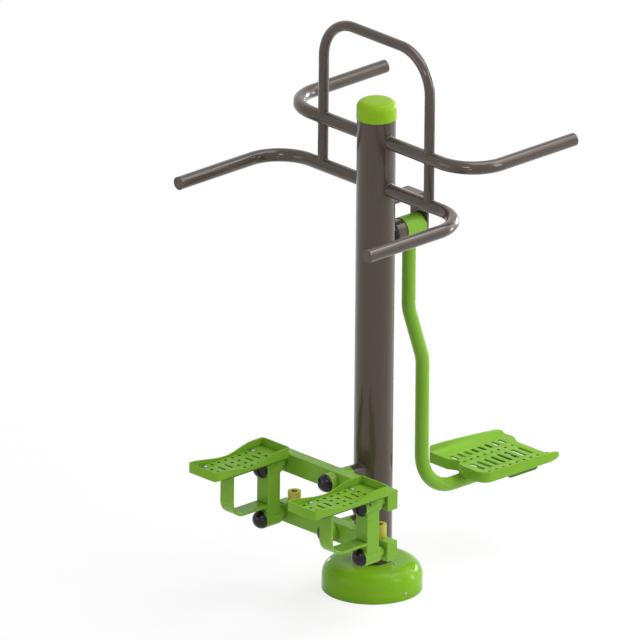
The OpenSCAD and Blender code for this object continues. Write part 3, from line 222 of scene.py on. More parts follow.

# %% [markdown]
# ## Moulded plastic
# The base cover and the post cap are injection-moulded ABS. Its colour goes all through,
# its skin is smooth with long, slow waves where the plastic sank as it cooled, and it
# reflects more softly than paint. A flat colour would look like paper, so a slow noise
# makes the waves and a fine one breaks up the gloss. Corners are painted darker as
# painted shade. The same steps serve the near-black nylon caps and the black ring on the
# swing's hub.

# %% The plastic's graph
def moulded_plastic(name, mid, deep, corner_shade_colour, rough, shine, wave_mm, wave):
    """Colour all through with a slow sink wave and a fine grain in the gloss."""
    material, tree, out, place = fresh_material(name)
    cloud = add(tree, "TexNoise", inputs={
        "Vector": place, "Scale": per_metre(90), "Detail": 2.0}).outputs["Fac"]
    body = add(tree, "Mix", COLOUR_MIX, {
        FACTOR: cloud, FIRST: linear(deep), SECOND: linear(mid)}).outputs[MIXED]
    # Painted shade: where Ambient Occlusion finds a corner, the colour goes darker.
    corner = add(tree, "AmbientOcclusion", {"samples": 6}, {
        "Distance": 40 * MM}).outputs["AO"]
    corner_shade_share = add(tree, "MapRange", inputs={
        "Value": corner, "From Min": 0.3, "From Max": 0.9,
        "To Min": 0.3, "To Max": 0.0}).outputs[0]
    colour = add(tree, "Mix", COLOUR_MIX, {
        FACTOR: corner_shade_share, FIRST: body, SECOND: linear(corner_shade_colour)}).outputs[MIXED]
    sink = add(tree, "TexNoise", inputs={
        "Vector": place, "Scale": per_metre(wave_mm), "Detail": 1.0}).outputs["Fac"]
    edge = add(tree, "Bevel", {"samples": 6}, {"Radius": 1.2 * MM}).outputs[0]
    bumpy = add(tree, "Bump", inputs={
        "Height": sink, "Strength": wave, "Distance": 1.0 * MM,
        "Normal": edge}).outputs[0]
    grain = add(tree, "TexNoise", inputs={
        "Vector": place, "Scale": per_metre(2), "Detail": 2.0}).outputs["Fac"]
    gloss = add(tree, "MapRange", inputs={
        "Value": grain, "To Min": rough - 0.04, "To Max": rough + 0.05}).outputs[0]
    plastic = add(tree, "BsdfPrincipled", inputs={
        "Base Color": colour, "Roughness": gloss, "Normal": bumpy, "IOR": 1.53,
        "Specular IOR Level": shine})
    tree.links.new(plastic.outputs[0], out.inputs["Surface"])
    return material


ABS_GREEN = moulded_plastic("moulded_abs_green", "#7CAE20", "#70A01C", "#2F4A16",
                            rough=0.10, shine=0.09, wave_mm=45, wave=0.5)
# Painted light: the cap's green is set lighter and yellower than the cover's, for the
# strong light on its top.
ABS_CAP_LIT = moulded_plastic("moulded_abs_green_cap_painted_light", "#8AB424", "#7FA820", "#3F5E14",
                          rough=0.12, shine=0.06, wave_mm=30, wave=0.25)
NYLON = moulded_plastic("moulded_nylon_black", "#211A1B", "#151112", "#0D0B0B",
                        rough=0.10, shine=0.24, wave_mm=14, wave=0.3)
# Black partly as rubber and partly as painted shade of the seam between hub and post.
DARK_SEAM_RUBBER = moulded_plastic("black_rubber_with_seam_shade", "#1D1A19", "#161312", "#0D0B0B",
                         rough=0.60, shine=0.15, wave_mm=14, wave=0.2)
print("made", ABS_GREEN.name, ABS_CAP_LIT.name, NYLON.name, DARK_SEAM_RUBBER.name)

# %% [markdown]
# ## Polyurethane
# The buffers are cast polyurethane rubber: olive yellow, slightly see-through at the
# rim, satin from handling. Glass-like transmission would be slow and too clear for so
# thick a wall, so a little subsurface scattering gives the waxy depth.

# %% Polyurethane
def cast_polyurethane(name, mid, deep):
    """Waxy rubber: a marbled colour, some scattering, fine scuffs in the gloss."""
    material, tree, out, place = fresh_material(name)
    marble = add(tree, "TexNoise", inputs={
        "Vector": place, "Scale": per_metre(22), "Detail": 4.0}).outputs["Fac"]
    colour = add(tree, "Mix", COLOUR_MIX, {
        FACTOR: marble, FIRST: linear(deep), SECOND: linear(mid)}).outputs[MIXED]
    scuff = add(tree, "TexNoise", inputs={
        "Vector": place, "Scale": per_metre(3), "Detail": 3.0}).outputs["Fac"]
    gloss = add(tree, "MapRange", inputs={
        "Value": scuff, "To Min": 0.32, "To Max": 0.5}).outputs[0]
    edge = add(tree, "Bevel", {"samples": 6}, {"Radius": 1.2 * MM}).outputs[0]
    bumpy = add(tree, "Bump", inputs={
        "Height": scuff, "Strength": 0.12, "Distance": 0.3 * MM,
        "Normal": edge}).outputs[0]
    rubber = add(tree, "BsdfPrincipled", inputs={
        "Base Color": colour, "Roughness": gloss, "Normal": bumpy, "IOR": 1.5,
        "Subsurface Weight": 0.2, "Subsurface Radius": (4 * MM, 3 * MM, 1 * MM)})
    tree.links.new(rubber.outputs[0], out.inputs["Surface"])
    return material


URETHANE = cast_polyurethane("cast_polyurethane_olive", "#C4BC34", "#A59D26")
print("made", URETHANE.name)

# %% [markdown]
# ## Bare and plated steel
# Bolts and nuts are bright zinc plated: a cool grey metal, cloudy from the plating bath.
# Turned axles and bearing rings keep rings from the tool, a fraction of a millimetre
# apart and drawn at 7.5 mm to show at all. The flange under the cover is hot-dip
# galvanised, which freezes into crystals some 12 mm across. All are patches of slightly
# different tone and gloss, which Voronoi cells with soft borders draw at any size, so
# one graph serves the four of them.

# %% The metals' graph
def steel_skin(name, tone, dark, rough, crystal_mm, ring_mm=None):
    """Metal whose tone and gloss change by crystal, with turning rings along Y if asked."""
    material, tree, out, place = fresh_material(name)
    cells = add(tree, "TexVoronoi", {"feature": "SMOOTH_F1"}, {
        "Vector": place, "Scale": per_metre(crystal_mm),
        "Smoothness": 0.4}).outputs["Color"]
    grey = add(tree, "RGBToBW", inputs={"Color": cells}).outputs[0]
    colour = add(tree, "Mix", COLOUR_MIX, {
        FACTOR: grey, FIRST: linear(dark), SECOND: linear(tone)}).outputs[MIXED]
    gloss = add(tree, "MapRange", inputs={
        "Value": grey, "To Min": rough, "To Max": rough + 0.12}).outputs[0]
    relief = grey
    if ring_mm:
        # The Wave node takes the sine of 20 times its scaled coordinate
        relief = add(tree, "TexWave", {"wave_type": "BANDS", "bands_direction": "Y"}, {
            "Vector": place, "Scale": TURN * per_metre(ring_mm) / 20,
            "Distortion": 0.6}).outputs["Fac"]
    edge = add(tree, "Bevel", {"samples": 6}, {"Radius": 0.6 * MM}).outputs[0]
    bumpy = add(tree, "Bump", inputs={
        "Height": relief, "Strength": 0.08, "Distance": 0.2 * MM,
        "Normal": edge}).outputs[0]
    metal = add(tree, "BsdfPrincipled", inputs={
        "Base Color": colour, "Metallic": 1.0, "Roughness": gloss, "Normal": bumpy})
    tree.links.new(metal.outputs[0], out.inputs["Surface"])
    return material


ZINC = steel_skin("zinc_plated_steel", "#BDBFC1", "#96989B", 0.28, 4)
TURNED = steel_skin("oiled_turned_steel", "#6F6E6B", "#54524F", 0.30, 8, ring_mm=7.54)
BLACK_OXIDE = steel_skin("black_oxide_steel", "#4A4843", "#35332F", 0.38, 5)
GALVANISED = steel_skin("hot_dip_galvanised_steel", "#A9ADB0", "#83878B", 0.38, 12)
print("made", ZINC.name, TURNED.name, BLACK_OXIDE.name, GALVANISED.name)

# %% [markdown]
# Every CAD node whose shape is right keeps it and only gets its finish. The record's
# material slots say which finish a node has, so one table does them all. A second table
# has the few that differ: the post is drawn tube, the plates under the treads get a darker
# green as painted shade, for the shadow that the treads and the platform cast on them,
# and the screws deep in the buffers are black.

# %% Finishes by slot
FINISH = {
    "brown_paint": BROWN, "green_paint": GREEN, "green_tread": GREEN_CAST,
    "green_cover": ABS_GREEN, "green_cap": ABS_CAP_LIT, "galvanised_steel": GALVANISED,
    "zinc_fastener": ZINC, "bright_steel": TURNED, "bearing_steel": TURNED,
    "dark_plastic": NYLON, "yellow_rubber": URETHANE,
}
OWN_FINISH = {
    # The plates under the treads take the darker green, as painted shade.
    "post": BROWN_POST, "buffer_screws": BLACK_OXIDE, "platform_plate": GREEN_SHADED,
    "left_pedal_plate": GREEN_SHADED, "right_pedal_plate": GREEN_SHADED,
}


def finish_of(node):
    """A CAD node's own material, or else the one that its slot asks for."""
    return OWN_FINISH.get(node) or FINISH[SLOT_OF[node]]


for name, obj in NODES.items():
    obj.data.materials.clear()
    obj.data.materials.append(finish_of(name))
print("finishes:", sorted({finish_of(n).name for n in NODES}))

# %% [markdown]
# Two kinds of steel piece are partly painted. The end axles are welded in the beams, so
# their collars were coated with them and only the journals inside the sleeves are bare.
# The nuts under the tread plates were painted over when the plates were touched up. A
# mask in the material could do this, but a second material on the faces past a known
# plane gives the sharp border of the masking tape.

# %% Painted parts of bare pieces
def size_of(node):
    """Low and high corner of a CAD node in millimetres."""
    low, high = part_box(node)
    return np.array(low) / MM, np.array(high) / MM


def also_painted(node, finish, test):
    """Gives a second finish to the faces whose centre, in mm, passes the test."""
    mesh = NODES[node].data
    mesh.materials.append(finish)
    centres = np.empty(len(mesh.polygons) * 3)
    mesh.polygons.foreach_get("center", centres)
    chosen = test(centres.reshape(-1, 3) / MM)
    mesh.polygons.foreach_set("material_index", chosen.astype(np.int32))
    print(node, "painted faces:", int(chosen.sum()), "of", len(chosen))


JUST_PAST = 0.1
collar_from = size_of("left_link_sleeves")[1][1] + JUST_PAST
for level in ("upper", "lower"):
    beam_front = size_of(f"{level}_beam_tube")[0][1]
    also_painted(f"{level}_end_axles", GREEN,
                 lambda c: (c[:, 1] > collar_from) & (c[:, 1] < beam_front))
plate_low = size_of("left_strap")[1][2]
for word in ("left", "right"):
    also_painted(f"{word}_pedal_bolts", GREEN, lambda c: c[:, 2] < plate_low)

# %% [markdown]
# ## Rounded edges
# No pressed, bent or cast edge is razor sharp. The Bevel node alone would soften the
# shading but leave a hard outline, so for the pieces that are seen close, a copy of the
# CAD mesh is welded into one skin, its flat faces are joined, and a Bevel modifier
# rounds every edge sharper than 32 degrees. The copy then stands for its node. A casting
# leaves its mould with corners of about 1.6 mm.

# %% Round the edges of a node
SHARP = np.radians(32.0)
FLAT = np.radians(0.5)
SAME_POINT = 0.01 * MM
TINY_EDGE = 0.05 * MM
BEVEL_STEPS = 2
CAST_EDGE = 1.6


def shade_smooth(mesh):
    """Shades all faces of a mesh as parts of one curved surface."""
    mesh.polygons.foreach_set("use_smooth", [True] * len(mesh.polygons))


def move_points(work, mesh, shape):
    """Moves every point of the mesh at once by shape(points in mm), and cleans up after."""
    work.to_mesh(mesh)
    points = np.empty(len(mesh.vertices) * 3)
    mesh.vertices.foreach_get("co", points)
    moved = shape(points.reshape(-1, 3) / MM) * MM
    mesh.vertices.foreach_set("co", moved.ravel())
    work.clear()
    work.from_mesh(mesh)
    bmesh.ops.remove_doubles(work, verts=work.verts, dist=TINY_EDGE)
    bmesh.ops.dissolve_degenerate(work, edges=work.edges, dist=TINY_EDGE)


def rounded(node, radius_mm, cuts_x=(), cuts_y=(), shape=None):
    """A copy of a CAD node with its sharp edges rounded, which replaces the node.

    It's first cut across at the given x and y, in mm, and shape(points) moves its points.
    """
    mesh = NODES[node].data.copy()
    made = bpy.data.objects.new(node + "_rounded", mesh)
    bpy.context.scene.collection.objects.link(made)
    work = bmesh.new()
    work.from_mesh(mesh)
    bmesh.ops.remove_doubles(work, verts=work.verts, dist=SAME_POINT)
    bmesh.ops.dissolve_limit(work, angle_limit=FLAT, verts=work.verts, edges=work.edges)
    for cuts, square_to in ((cuts_x, Vector((1, 0, 0))), (cuts_y, Vector((0, 1, 0)))):
        for cut in cuts:
            bmesh.ops.bisect_plane(
                work, geom=work.verts[:] + work.edges[:] + work.faces[:],
                plane_co=square_to * cut * MM, plane_no=square_to)
    if shape:
        move_points(work, mesh, shape)
    work.to_mesh(mesh)
    work.free()
    shade_smooth(mesh)
    bevel = made.modifiers.new("edge_radius", "BEVEL")
    bevel.width = radius_mm * MM
    bevel.segments = BEVEL_STEPS
    bevel.limit_method = "ANGLE"
    bevel.angle_limit = SHARP
    bevel.harden_normals = True
    bevel.use_clamp_overlap = True
    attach(made, BODY_OF[node])
    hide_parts(node)
    print(made.name, len(mesh.polygons), "faces before its bevel")


for node in ("left_pedal", "right_pedal"):
    rounded(node, CAST_EDGE)

# %% [markdown]
# The platform's high side is a hollow cove that runs out over the far end, and its low
# side ends in a horn that sweeps up like the nose of a board. The solid has the end
# walled and the horn blunt. Sculpting would lose the sizes, so the copy is cut into
# slices there and its points are moved by a formula: the end's rim sinks to the floor
# and the cove, and only grows back towards the horn, whose underside rises with the
# square of the way to the tip.

# %% The far end of the platform
BOARD_LOW, BOARD_HIGH = size_of("platform")
BOARD_EDGE = 1.8
BOARD_FLOOR = BOARD_LOW[2] + 24.5
COVE_R = 46.0
COVE_X = BOARD_LOW[0] + COVE_R + 1.0
COVE_CUT_FROM = 32.0
COVE_CUTS = np.linspace(COVE_X - COVE_CUT_FROM, COVE_X, 8)
HORN_LEN, HORN_W, HORN_BLEND = 50.0, 41.0, 30.0
HORN_CUTS = BOARD_HIGH[1] - np.array([48, 40, 32, 25, 18, 12, 7])
UNDER_RISE, TOP_RISE = 11.0, 4.0
STILL_UP, TOP_SPAN = 20.0, 10.0
RIM_FROM = 0.1


def far_end(points):
    """Rim: z sinks to c + (z - c) a, with the cove c = F + R - sqrt(R^2 - d^2).

    F is the floor, R the cove's radius, d how far x is into the cove, and a goes from 0
    to 1 across to the horn, smoothed as 3a^2 - 2a^3. Horn: z rises by t^2 a times a lift,
    with t the way to the tip. At a height h over the lowest point, the lift is
    UNDER_RISE (1 - h/STILL_UP) below STILL_UP and TOP_RISE (h - STILL_UP)/TOP_SPAN above.
    """
    x, y, z = points.T
    t = np.clip((y - BOARD_HIGH[1] + HORN_LEN) / HORN_LEN, 0, 1)
    across = np.clip((x - BOARD_HIGH[0] + HORN_W) / HORN_BLEND, 0, 1)
    across = across ** 2 * (3 - 2 * across)
    up = z - BOARD_LOW[2]
    hollow = np.clip(COVE_X - x, 0, COVE_R)
    cove = BOARD_FLOOR + COVE_R - np.sqrt(COVE_R ** 2 - hollow ** 2)
    z = np.where((z > cove) & (t > RIM_FROM), cove + (z - cove) * across, z)
    lift = np.where(up < STILL_UP, UNDER_RISE * (1 - up / STILL_UP),
                    TOP_RISE * (up - STILL_UP) / TOP_SPAN)
    return np.stack([x, y, z + lift * t ** 2 * across], 1)


rounded("platform", BOARD_EDGE, cuts_x=COVE_CUTS, cuts_y=HORN_CUTS, shape=far_end)

# %% [markdown]
# The folded plate under the platform has its corners cut round, so that they don't catch
# a shin. Seen from the side, the lowest point follows a quarter circle at each end. The
# plate is sliced where the circle turns fastest, and its points are lifted to it.

# %% Round the ends of the plate
PLATE_LOW, PLATE_HIGH = size_of("platform_plate")
PLATE_EDGE = 0.8
PLATE_R = 0.75 * (PLATE_HIGH - PLATE_LOW)[2]
PLATE_CUTS = PLATE_R * np.array([0.04, 0.15, 0.32, 0.55, 1.0])


def round_ends(points):
    """z is at least r - sqrt(r^2 - d^2), with d how far a point is into the corner."""
    x, y, z = points.T
    into = np.clip(PLATE_R - np.minimum(y - PLATE_LOW[1], PLATE_HIGH[1] - y), 0, PLATE_R)
    rise = PLATE_R - np.sqrt(PLATE_R ** 2 - into ** 2)
    return np.stack([x, y, np.maximum(z, PLATE_LOW[2] + rise)], 1)


rounded("platform_plate", PLATE_EDGE, shape=round_ends,
        cuts_y=np.concatenate([PLATE_LOW[1] + PLATE_CUTS, PLATE_HIGH[1] - PLATE_CUTS]))
print("the plate's corner radius is", round(PLATE_R, 1), "mm")

# %% [markdown]
# ## Surfaces from numpy
# A small piece is a sheet of points: a function of two parameters worked out for the
# whole grid at once, which keeps its formula in one line and its making fast. One helper
# turns such a grid into a mesh. It joins the last column to the first, and the last row
# to the first if asked. Points that fall together become one, so a profile that starts
# and ends on its axis is closed by itself.

# %% A grid as a mesh
SAME_GRID_POINT = 0.001 * MM


def skin(name, points, body, material, wrap_rows=False):
    """Mesh of a rows x cols x 3 grid in metres; each cell is one quad, turned outwards."""
    rows, cols = points.shape[:2]
    i = np.arange(rows if wrap_rows else rows - 1)[:, None]
    j = np.arange(cols)[None, :]
    beside = (j + 1) % cols
    above = (i + 1) % rows * cols
    faces = np.stack([i * cols + j, i * cols + beside, above + beside, above + j], -1)
    mesh = bpy.data.meshes.new(name)
    mesh.from_pydata(points.reshape(-1, 3).tolist(), [], faces.reshape(-1, 4).tolist())
    work = bmesh.new()
    work.from_mesh(mesh)
    bmesh.ops.remove_doubles(work, verts=work.verts, dist=SAME_GRID_POINT)
    bmesh.ops.recalc_face_normals(work, faces=work.faces)
    work.to_mesh(mesh)
    work.free()
    shade_smooth(mesh)
    mesh.materials.append(material)
    made = bpy.data.objects.new(name, mesh)
    bpy.context.scene.collection.objects.link(made)
    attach(made, body)
    print(name, len(mesh.polygons), "faces on", body)


# %% [markdown]
# ## Weld beads
# Every tube is welded where it lands on another, and the bead shows as a soft rippled
# fillet under the paint. A bevelled curve could follow the seam, but the seam of two
# round tubes has an exact formula, so the bead is a circle carried along it. Its radius
# swells once per weld drop, every 4 mm. Half of the bead is inside the steel, as a real
# one is melted in.

# %% Bead along a closed seam
DROP = 4.0
POINTS_PER_DROP = 6
POINTS_AROUND = 10
SWELL = 0.10
BEAD_R, THIN_BEAD_R, LINK_BEAD_R = 2.6, 2.2, 2.0


def bead(path, radius_mm):
    """Circle of radius r (1 + 0.1 sin(2 pi n s/L)) along a closed path of length L.

    s is the way along the path and n the whole number of weld drops that fit on it.
    """
    path = np.asarray(path) * MM
    ahead = np.roll(path, -1, 0) - np.roll(path, 1, 0)
    ahead /= np.linalg.norm(ahead, axis=1, keepdims=True)
    step = np.linalg.norm(np.roll(path, -1, 0) - path, axis=1)
    s = np.concatenate([[0], np.cumsum(step)[:-1]])
    out = path - path.mean(0)
    out -= (out * ahead).sum(1, keepdims=True) * ahead
    out /= np.linalg.norm(out, axis=1, keepdims=True)
    side = np.cross(ahead, out)
    drops = np.round(step.sum() / (DROP * MM))
    radius = radius_mm * MM * (1 + SWELL * np.sin(TURN * drops * s / step.sum()))
    t = np.linspace(0, TURN, POINTS_AROUND, endpoint=False)
    return (path[:, None] + radius[:, None, None] * (
        np.cos(t)[None, :, None] * out[:, None] + np.sin(t)[None, :, None] * side[:, None]))


def ring_angles(length_mm):
    """Evenly spaced angles, enough for six points per drop on a seam of that length."""
    return np.linspace(0, TURN, int(POINTS_PER_DROP * length_mm / DROP), endpoint=False)


def weld(name, path, like, radius_mm=BEAD_R):
    """A closed bead that has the finish and the body of the CAD node it belongs to."""
    skin(name, bead(path, radius_mm), BODY_OF[like], finish_of(like),
         wrap_rows=True)


# %% [markdown]
# Where a tube of radius a lands square on a tube of radius R, a point of the seam at
# angle p is a cos p and a sin p across the tube, and the rest of R's circle along it:
# sqrt(R^2 - (a cos p)^2). The radii and places are read from the solids' boxes, so that
# the beads follow when a size of the model changes.

# %% Sizes taken from the solids
def middle(node):
    """Middle of a CAD node's box in millimetres."""
    low, high = size_of(node)
    return (low + high) / 2


def half(node):
    """Half of a CAD node's box in millimetres: a tube's radius, taken across it."""
    low, high = size_of(node)
    return (high - low) / 2


POST_R = half("post")[0]
UPPER_Z = middle("upper_handle_right")[2]
LOWER_Z = middle("lower_handle_right")[2]
HANDLE_R = half("upper_handle_right")[2]
HOOP_R = half("hoop_arch")[1]
HOOP_X = size_of("hoop_arch")[1][0] - HOOP_R
print("post", POST_R, "handles", UPPER_Z, LOWER_Z, HANDLE_R, "hoop", HOOP_X, HOOP_R)

# %% Handles on the post
p = ring_angles(TURN * HANDLE_R)
y = HANDLE_R * np.cos(p)
for level, z in (("upper", UPPER_Z), ("lower", LOWER_Z)):
    for word, side in (("right", 1), ("left", -1)):
        path = np.stack(
            [side * np.sqrt(POST_R ** 2 - y ** 2), y, z + HANDLE_R * np.sin(p)], 1)
        weld(f"{level}_handle_{word}_weld", path, f"{level}_handle_{word}")

# %% [markdown]
# The hoop stands on the upper handles, and a short strut carries it on between the upper
# and the lower ones. So each side has three seams, two above a handle and one below.

# %% Hoop and struts on the handles
p = ring_angles(TURN * HOOP_R)
y = HOOP_R * np.sin(p)
for word, side in (("left", -1), ("right", 1)):
    for z, up, node in ((UPPER_Z, 1, "hoop_arch"), (UPPER_Z, -1, "hoop_struts"),
                        (LOWER_Z, 1, "hoop_struts")):
        path = np.stack([side * HOOP_X + HOOP_R * np.cos(p), y,
                         z + up * np.sqrt(HANDLE_R ** 2 - y ** 2)], 1)
        where = "top" if up > 0 else "under"
        weld(f"hoop_weld_{word}_{int(z)}_{where}", path, node, THIN_BEAD_R)

# %% [markdown]
# The hubs of the stepper stick out of the post's front and the hub of the swing out of
# its back. The two stepper hubs are one node, so their heights come from the ends of its
# box: one radius up from the bottom and one down from the top.

# %% Hubs on the post
for node, way in (("stepper_hubs", -1), ("swing_hub", 1)):
    low, high = size_of(node)
    r = half(node)[0]
    p = ring_angles(TURN * r)
    x = r * np.cos(p)
    for z in sorted({round(low[2] + r, 1), round(high[2] - r, 1)}):
        path = np.stack([x, way * np.sqrt(POST_R ** 2 - x ** 2), z + r * np.sin(p)], 1)
        weld(f"{node}_weld_{int(z)}", path, node)

# %% [markdown]
# Each beam is a flat-sided tube with a round sleeve through its middle, so the seam is
# a plain circle on the front face and another on the back one.

# %% Sleeves through the beams
for level in ("upper", "lower"):
    sleeve, tube = f"{level}_beam_sleeve", f"{level}_beam_tube"
    r, z = half(sleeve)[0], middle(sleeve)[2]
    front, back = size_of(tube)[0][1], size_of(tube)[1][1]
    p = ring_angles(TURN * r)
    for y, word in ((front, "front"), (back, "back")):
        path = np.stack([r * np.cos(p), np.full_like(p, y), z + r * np.sin(p)], 1)
        weld(f"{level}_sleeve_weld_{word}", path, tube, THIN_BEAD_R)

# %% [markdown]
# The links are square tubes that land on round sleeves, so their seam is a square bent
# over a circle. Dividing a circle's point by the larger of its cosine and sine gives the
# square, and a power just under one leaves its corners a little round, as the tube's are.

# %% Links on their sleeves
CORNER_POWER = 0.9
for word in ("left", "right"):
    tube, sleeves = f"{word}_link_tube", f"{word}_link_sleeves"
    side, r = half(tube)[0], half(sleeves)[0]
    p = ring_angles(8 * side)
    corner = np.maximum(np.abs(np.cos(p)), np.abs(np.sin(p))) ** CORNER_POWER
    x, y = side * np.cos(p) / corner, side * np.sin(p) / corner
    rest = np.sqrt(r ** 2 - x ** 2)
    low, high = size_of(sleeves)
    for z, end in ((high[2] - r - rest, "top"), (low[2] + r + rest, "low")):
        path = np.stack([middle(tube)[0] + x, middle(tube)[1] + y, z], 1)
        weld(f"{word}_link_weld_{end}", path, tube, LINK_BEAD_R)

# %% [markdown]
# The surf trainer's arm hangs from below its sleeve: the same seam as a handle's on the
# post, turned so that it faces down.

# %% Arm under the swing's sleeve
arm_r, sleeve_r = half("swing_arm")[0], half("swing_sleeve")[0]
p = ring_angles(TURN * arm_r)
x = arm_r * np.cos(p)
path = np.stack([x, middle("swing_sleeve")[1] + arm_r * np.sin(p),
                 middle("swing_sleeve")[2] - np.sqrt(sleeve_r ** 2 - x ** 2)], 1)
weld("swing_arm_weld", path, "swing_arm")

# %% [markdown]
# ## Grease screws
# The upper sleeve of each link has a small black screw over its grease hole, near the
# front bearing. A cylinder with a bevel would do, but the socket in its head shows, so
# it is a turned profile: radius and height along the screw's axis, swept once round.

# %% Grub screws on the sleeves
def turned(profile, origin, axis, around):
    """Profile (radius, height) in mm swept about an axis: p + h*axis + r*(cos, sin)."""
    axis = Vector(axis).normalized()
    across = axis.orthogonal().normalized()
    other = axis.cross(across)
    r, h = np.array(profile, float).T
    t = np.linspace(0, TURN, around, endpoint=False)
    grid = (np.array(origin)[None, None] + h[:, None, None] * np.array(axis)
            + r[:, None, None] * (np.cos(t)[None, :, None] * np.array(across)
                                  + np.sin(t)[None, :, None] * np.array(other)))
    return grid * MM


GRUB = [(0, 0.6), (2.2, 0.6), (2.4, 1.4), (4.6, 1.4), (5.0, 0.9), (5.0, -1.5), (0, -1.5)]
GRUB_LIFT = np.radians(24)
GRUB_FROM_FRONT, GRUB_SUNK = 19, 0.6
for word, side in (("left", -1), ("right", 1)):
    sleeves = f"{word}_link_sleeves"
    low, high = size_of(sleeves)
    r = half(sleeves)[0]
    way = np.array([side * np.cos(GRUB_LIFT), 0, np.sin(GRUB_LIFT)])
    pivot = np.array([middle(sleeves)[0], low[1] + GRUB_FROM_FRONT, high[2] - r])
    skin(f"{word}_grub_screw", turned(GRUB, pivot + way * (r - GRUB_SUNK), way, around=20),
         BODY_OF[sleeves], NYLON)

# %% [markdown]
# ## Collar on the swing's hub
# A black ring sits on the hub up to the post. Its black is partly a rubber seal and partly
# painted shade, for the dark shadow in the seam where the hub meets the post. It is turned
# from its section like the screws, about the hub's own axis. The section holds wall and
# distance from the post's middle, and it starts inside the post's curve, so that no gap
# shows at the sides.

# %% Rubber collar
COLLAR = np.array([(0.1, 52), (3.0, 52), (3.0, 77.5), (2.6, 78.6), (1.4, 79.2),
                   (0.1, 79.2)])
hub_r = half("swing_hub")[0]
hub_axis = (0, 0, middle("swing_hub")[2])
skin("swing_hub_ring_with_seam_shade", turned(COLLAR + (hub_r, 0), hub_axis, (0, 1, 0), around=48),
     BODY_OF["swing_hub"], DARK_SEAM_RUBBER, wrap_rows=True)
print("collar on a hub of", round(2 * hub_r, 1), "mm")

# %% [markdown]
# ## Camera
# The photograph is a parallel view: edges that are parallel on the object stay parallel
# in it. A perspective camera would never fit it, so this one is orthographic. Its axes
# and its scale were measured from the object's own upright, level and depth edges, and
# the pixel where the model's origin falls fixes its place.

# %% Camera
RIGHT = Vector((0.6922, 0.7217, 0.0089)).normalized()
UP = Vector((-0.2684, 0.2458, 0.9315))
UP = (UP - UP.dot(RIGHT) * RIGHT).normalized()
BACK = RIGHT.cross(UP)
PIXELS, PIXELS_PER_METRE = 640, 281.57
ORIGIN_AT = (372.0, 586.3)
CAMERA_AWAY, SEES_TO = 6.0, 60.0

lens = bpy.data.cameras.new("photo_view")
lens.type = "ORTHO"
lens.ortho_scale = PIXELS / PIXELS_PER_METRE
lens.clip_end = SEES_TO
camera = bpy.data.objects.new("photo_view", lens)
bpy.context.scene.collection.objects.link(camera)
beside = (PIXELS / 2 - ORIGIN_AT[0]) / PIXELS_PER_METRE
above = (ORIGIN_AT[1] - PIXELS / 2) / PIXELS_PER_METRE
spot = RIGHT * beside + UP * above + BACK * CAMERA_AWAY
turn = Matrix((RIGHT, UP, BACK)).transposed().to_4x4()
camera.matrix_world = Matrix.Translation(spot) @ turn
bpy.context.scene.camera = camera
print("camera sees", round(lens.ortho_scale, 3), "m")

# %% [markdown]
# ## Floor and light
# The floor is a plain pale sheet. A real one would turn grey where the lamps fade, so to
# the camera part of its white comes from itself: all of it far away, and less near the
# object, so that a soft shadow still shows. The sheet lies half a millimetre low, clear
# of the base.

# %% Floor
FLOOR_HALF, FLOOR_Z = 40.0, -0.0005
NEAR, FAR, NEAR_WHITE = 0.7, 2.4, 0.78


def looked_at(tree):
    """1 for rays of the camera, of gloss and through glass, 0 for diffuse light."""
    path = add(tree, "LightPath")
    seen = add(tree, "Math", {"operation": "MAXIMUM"}, {
        0: path.outputs["Is Camera Ray"], 1: path.outputs["Is Glossy Ray"]})
    return add(tree, "Math", {"operation": "MAXIMUM"}, {
        0: seen.outputs[0], 1: path.outputs["Is Transmission Ray"]}).outputs[0]


x, y = np.meshgrid([-FLOOR_HALF, FLOOR_HALF], [-FLOOR_HALF, FLOOR_HALF])
sheet = np.stack([x, y, np.full_like(x, FLOOR_Z)], -1)
floor = bpy.data.meshes.new("floor")
floor.from_pydata(sheet.reshape(-1, 3).tolist(), [], [(0, 1, 3, 2)])
floor_object = bpy.data.objects.new("floor", floor)
bpy.context.scene.collection.objects.link(floor_object)
material, tree, out, place = fresh_material("pale_studio_floor")
paper = add(tree, "BsdfDiffuse", inputs={"Color": linear("#F4F4F4")})
glow = add(tree, "Emission", inputs={"Color": linear("#FFFFFF"), "Strength": 1.0})
away = add(tree, "VectorMath", {"operation": "LENGTH"}, {0: place}).outputs["Value"]
white_share = add(tree, "MapRange", inputs={
    "Value": away, "From Min": NEAR, "From Max": FAR, "To Min": NEAR_WHITE, "To Max": 1.0})
share = add(tree, "Math", {"operation": "MULTIPLY"}, {
    0: looked_at(tree), 1: white_share.outputs[0]})
mixed = add(tree, "MixShader", inputs={
    0: share.outputs[0], 1: paper.outputs[0], 2: glow.outputs[0]})
tree.links.new(mixed.outputs[0], out.inputs["Surface"])
floor.materials.append(material)
print("floor of", 2 * FLOOR_HALF, "m, all white from", FAR, "m away")

# %% [markdown]
# The world is white to look at, for a clean background and for what the glossy paint
# mirrors. As a light it is dimmer, because an even light from all sides would leave the
# object flat: it only fills the shadows that the lamps leave.

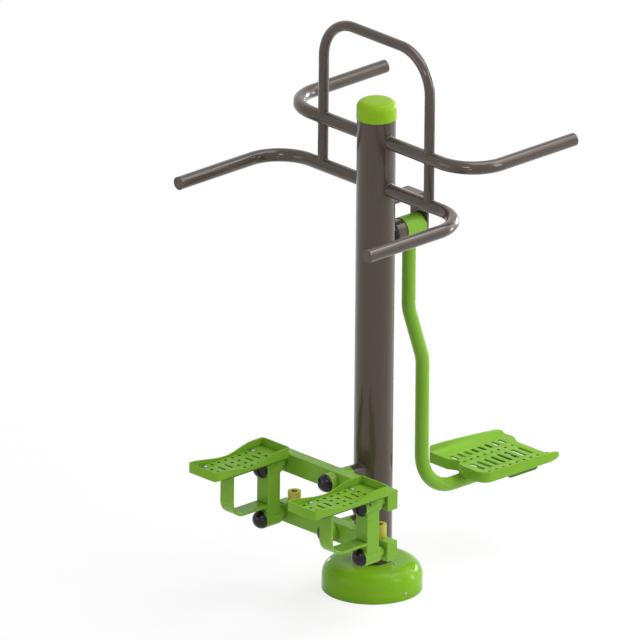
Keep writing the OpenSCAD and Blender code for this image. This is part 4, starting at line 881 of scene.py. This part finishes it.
# %% World
FILL = 0.42
world = bpy.data.worlds.new("white_studio")
bpy.context.scene.world = world
world.use_nodes = True
sky = world.node_tree
sky.nodes.clear()
dim = add(sky, "Background", inputs={"Color": linear("#FFFFFF"), "Strength": FILL})
white = add(sky, "Background", inputs={"Color": linear("#FFFFFF"), "Strength": 1.0})
mixed = add(sky, "MixShader", inputs={
    0: looked_at(sky), 1: dim.outputs[0], 2: white.outputs[0]})
add(sky, "OutputWorld", inputs={"Surface": mixed.outputs[0]})
print("world", world.name, "fills with", FILL)

# %% [markdown]
# Round tubes show their lamps as long highlights, so each lamp is a softbox whose
# mirror image falls where the photograph has a highlight. The main one is tall and
# stands high on the right, and a wide one overhead lights the level faces. Windows and
# fills keep the other sides readable. The three called glint only make bright spots on
# round shoulders and bends.

# %% Lamps
def softbox(name, place, aim, width, height, power):
    """An area lamp at place that faces aim, in metres and watts."""
    lamp = bpy.data.lights.new(name, "AREA")
    lamp.shape = "RECTANGLE"
    lamp.size = width
    lamp.size_y = height
    lamp.energy = power
    made = bpy.data.objects.new(name, lamp)
    made.location = place
    made.rotation_euler = (Vector(aim) - Vector(place)).to_track_quat("-Z", "Y").to_euler()
    bpy.context.scene.collection.objects.link(made)


LAMPS = (
    ("key_right", (4.2, 1.6, 3.4), (0, 0, 0.9), 1.4, 3.0, 72),
    ("window_back", (0.7, 4.4, 2.5), (0, 0, 1.0), 3.4, 2.4, 40),
    ("window_top", (0.9, 1.4, 5.4), (0, 0, 1.0), 3.2, 3.2, 110),
    ("window_high", (2.0, 3.0, 4.6), (0, 0, 1.2), 2.6, 2.6, 40),
    ("rim_back_right", (2.3, 4.3, 1.1), (0, 0, 0.9), 0.8, 1.8, 45),
    ("front_fill", (-1.5, -5.0, 2.2), (0, 0, 0.9), 3.0, 3.0, 40),
    ("front_high", (2.3, -2.9, 3.7), (0, 0, 0.6), 0.9, 0.9, 26),
    ("glint_back", (-0.33, 4.3, 1.6), (0.1, 0.1, 0.1), 1.5, 1.5, 80),
    ("glint_left", (-4.1, 1.9, 0.45), (-0.1, -0.1, 0.1), 0.5, 0.6, 4),
    ("glint_front", (3.4, -3.3, 1.3), (0, 0, 0.1), 0.15, 0.15, 5),
)
for row in LAMPS:
    softbox(*row)
bpy.context.scene.view_settings.view_transform = "Standard"
print(len(LAMPS), "lamps with", sum(row[-1] for row in LAMPS), "W in all")
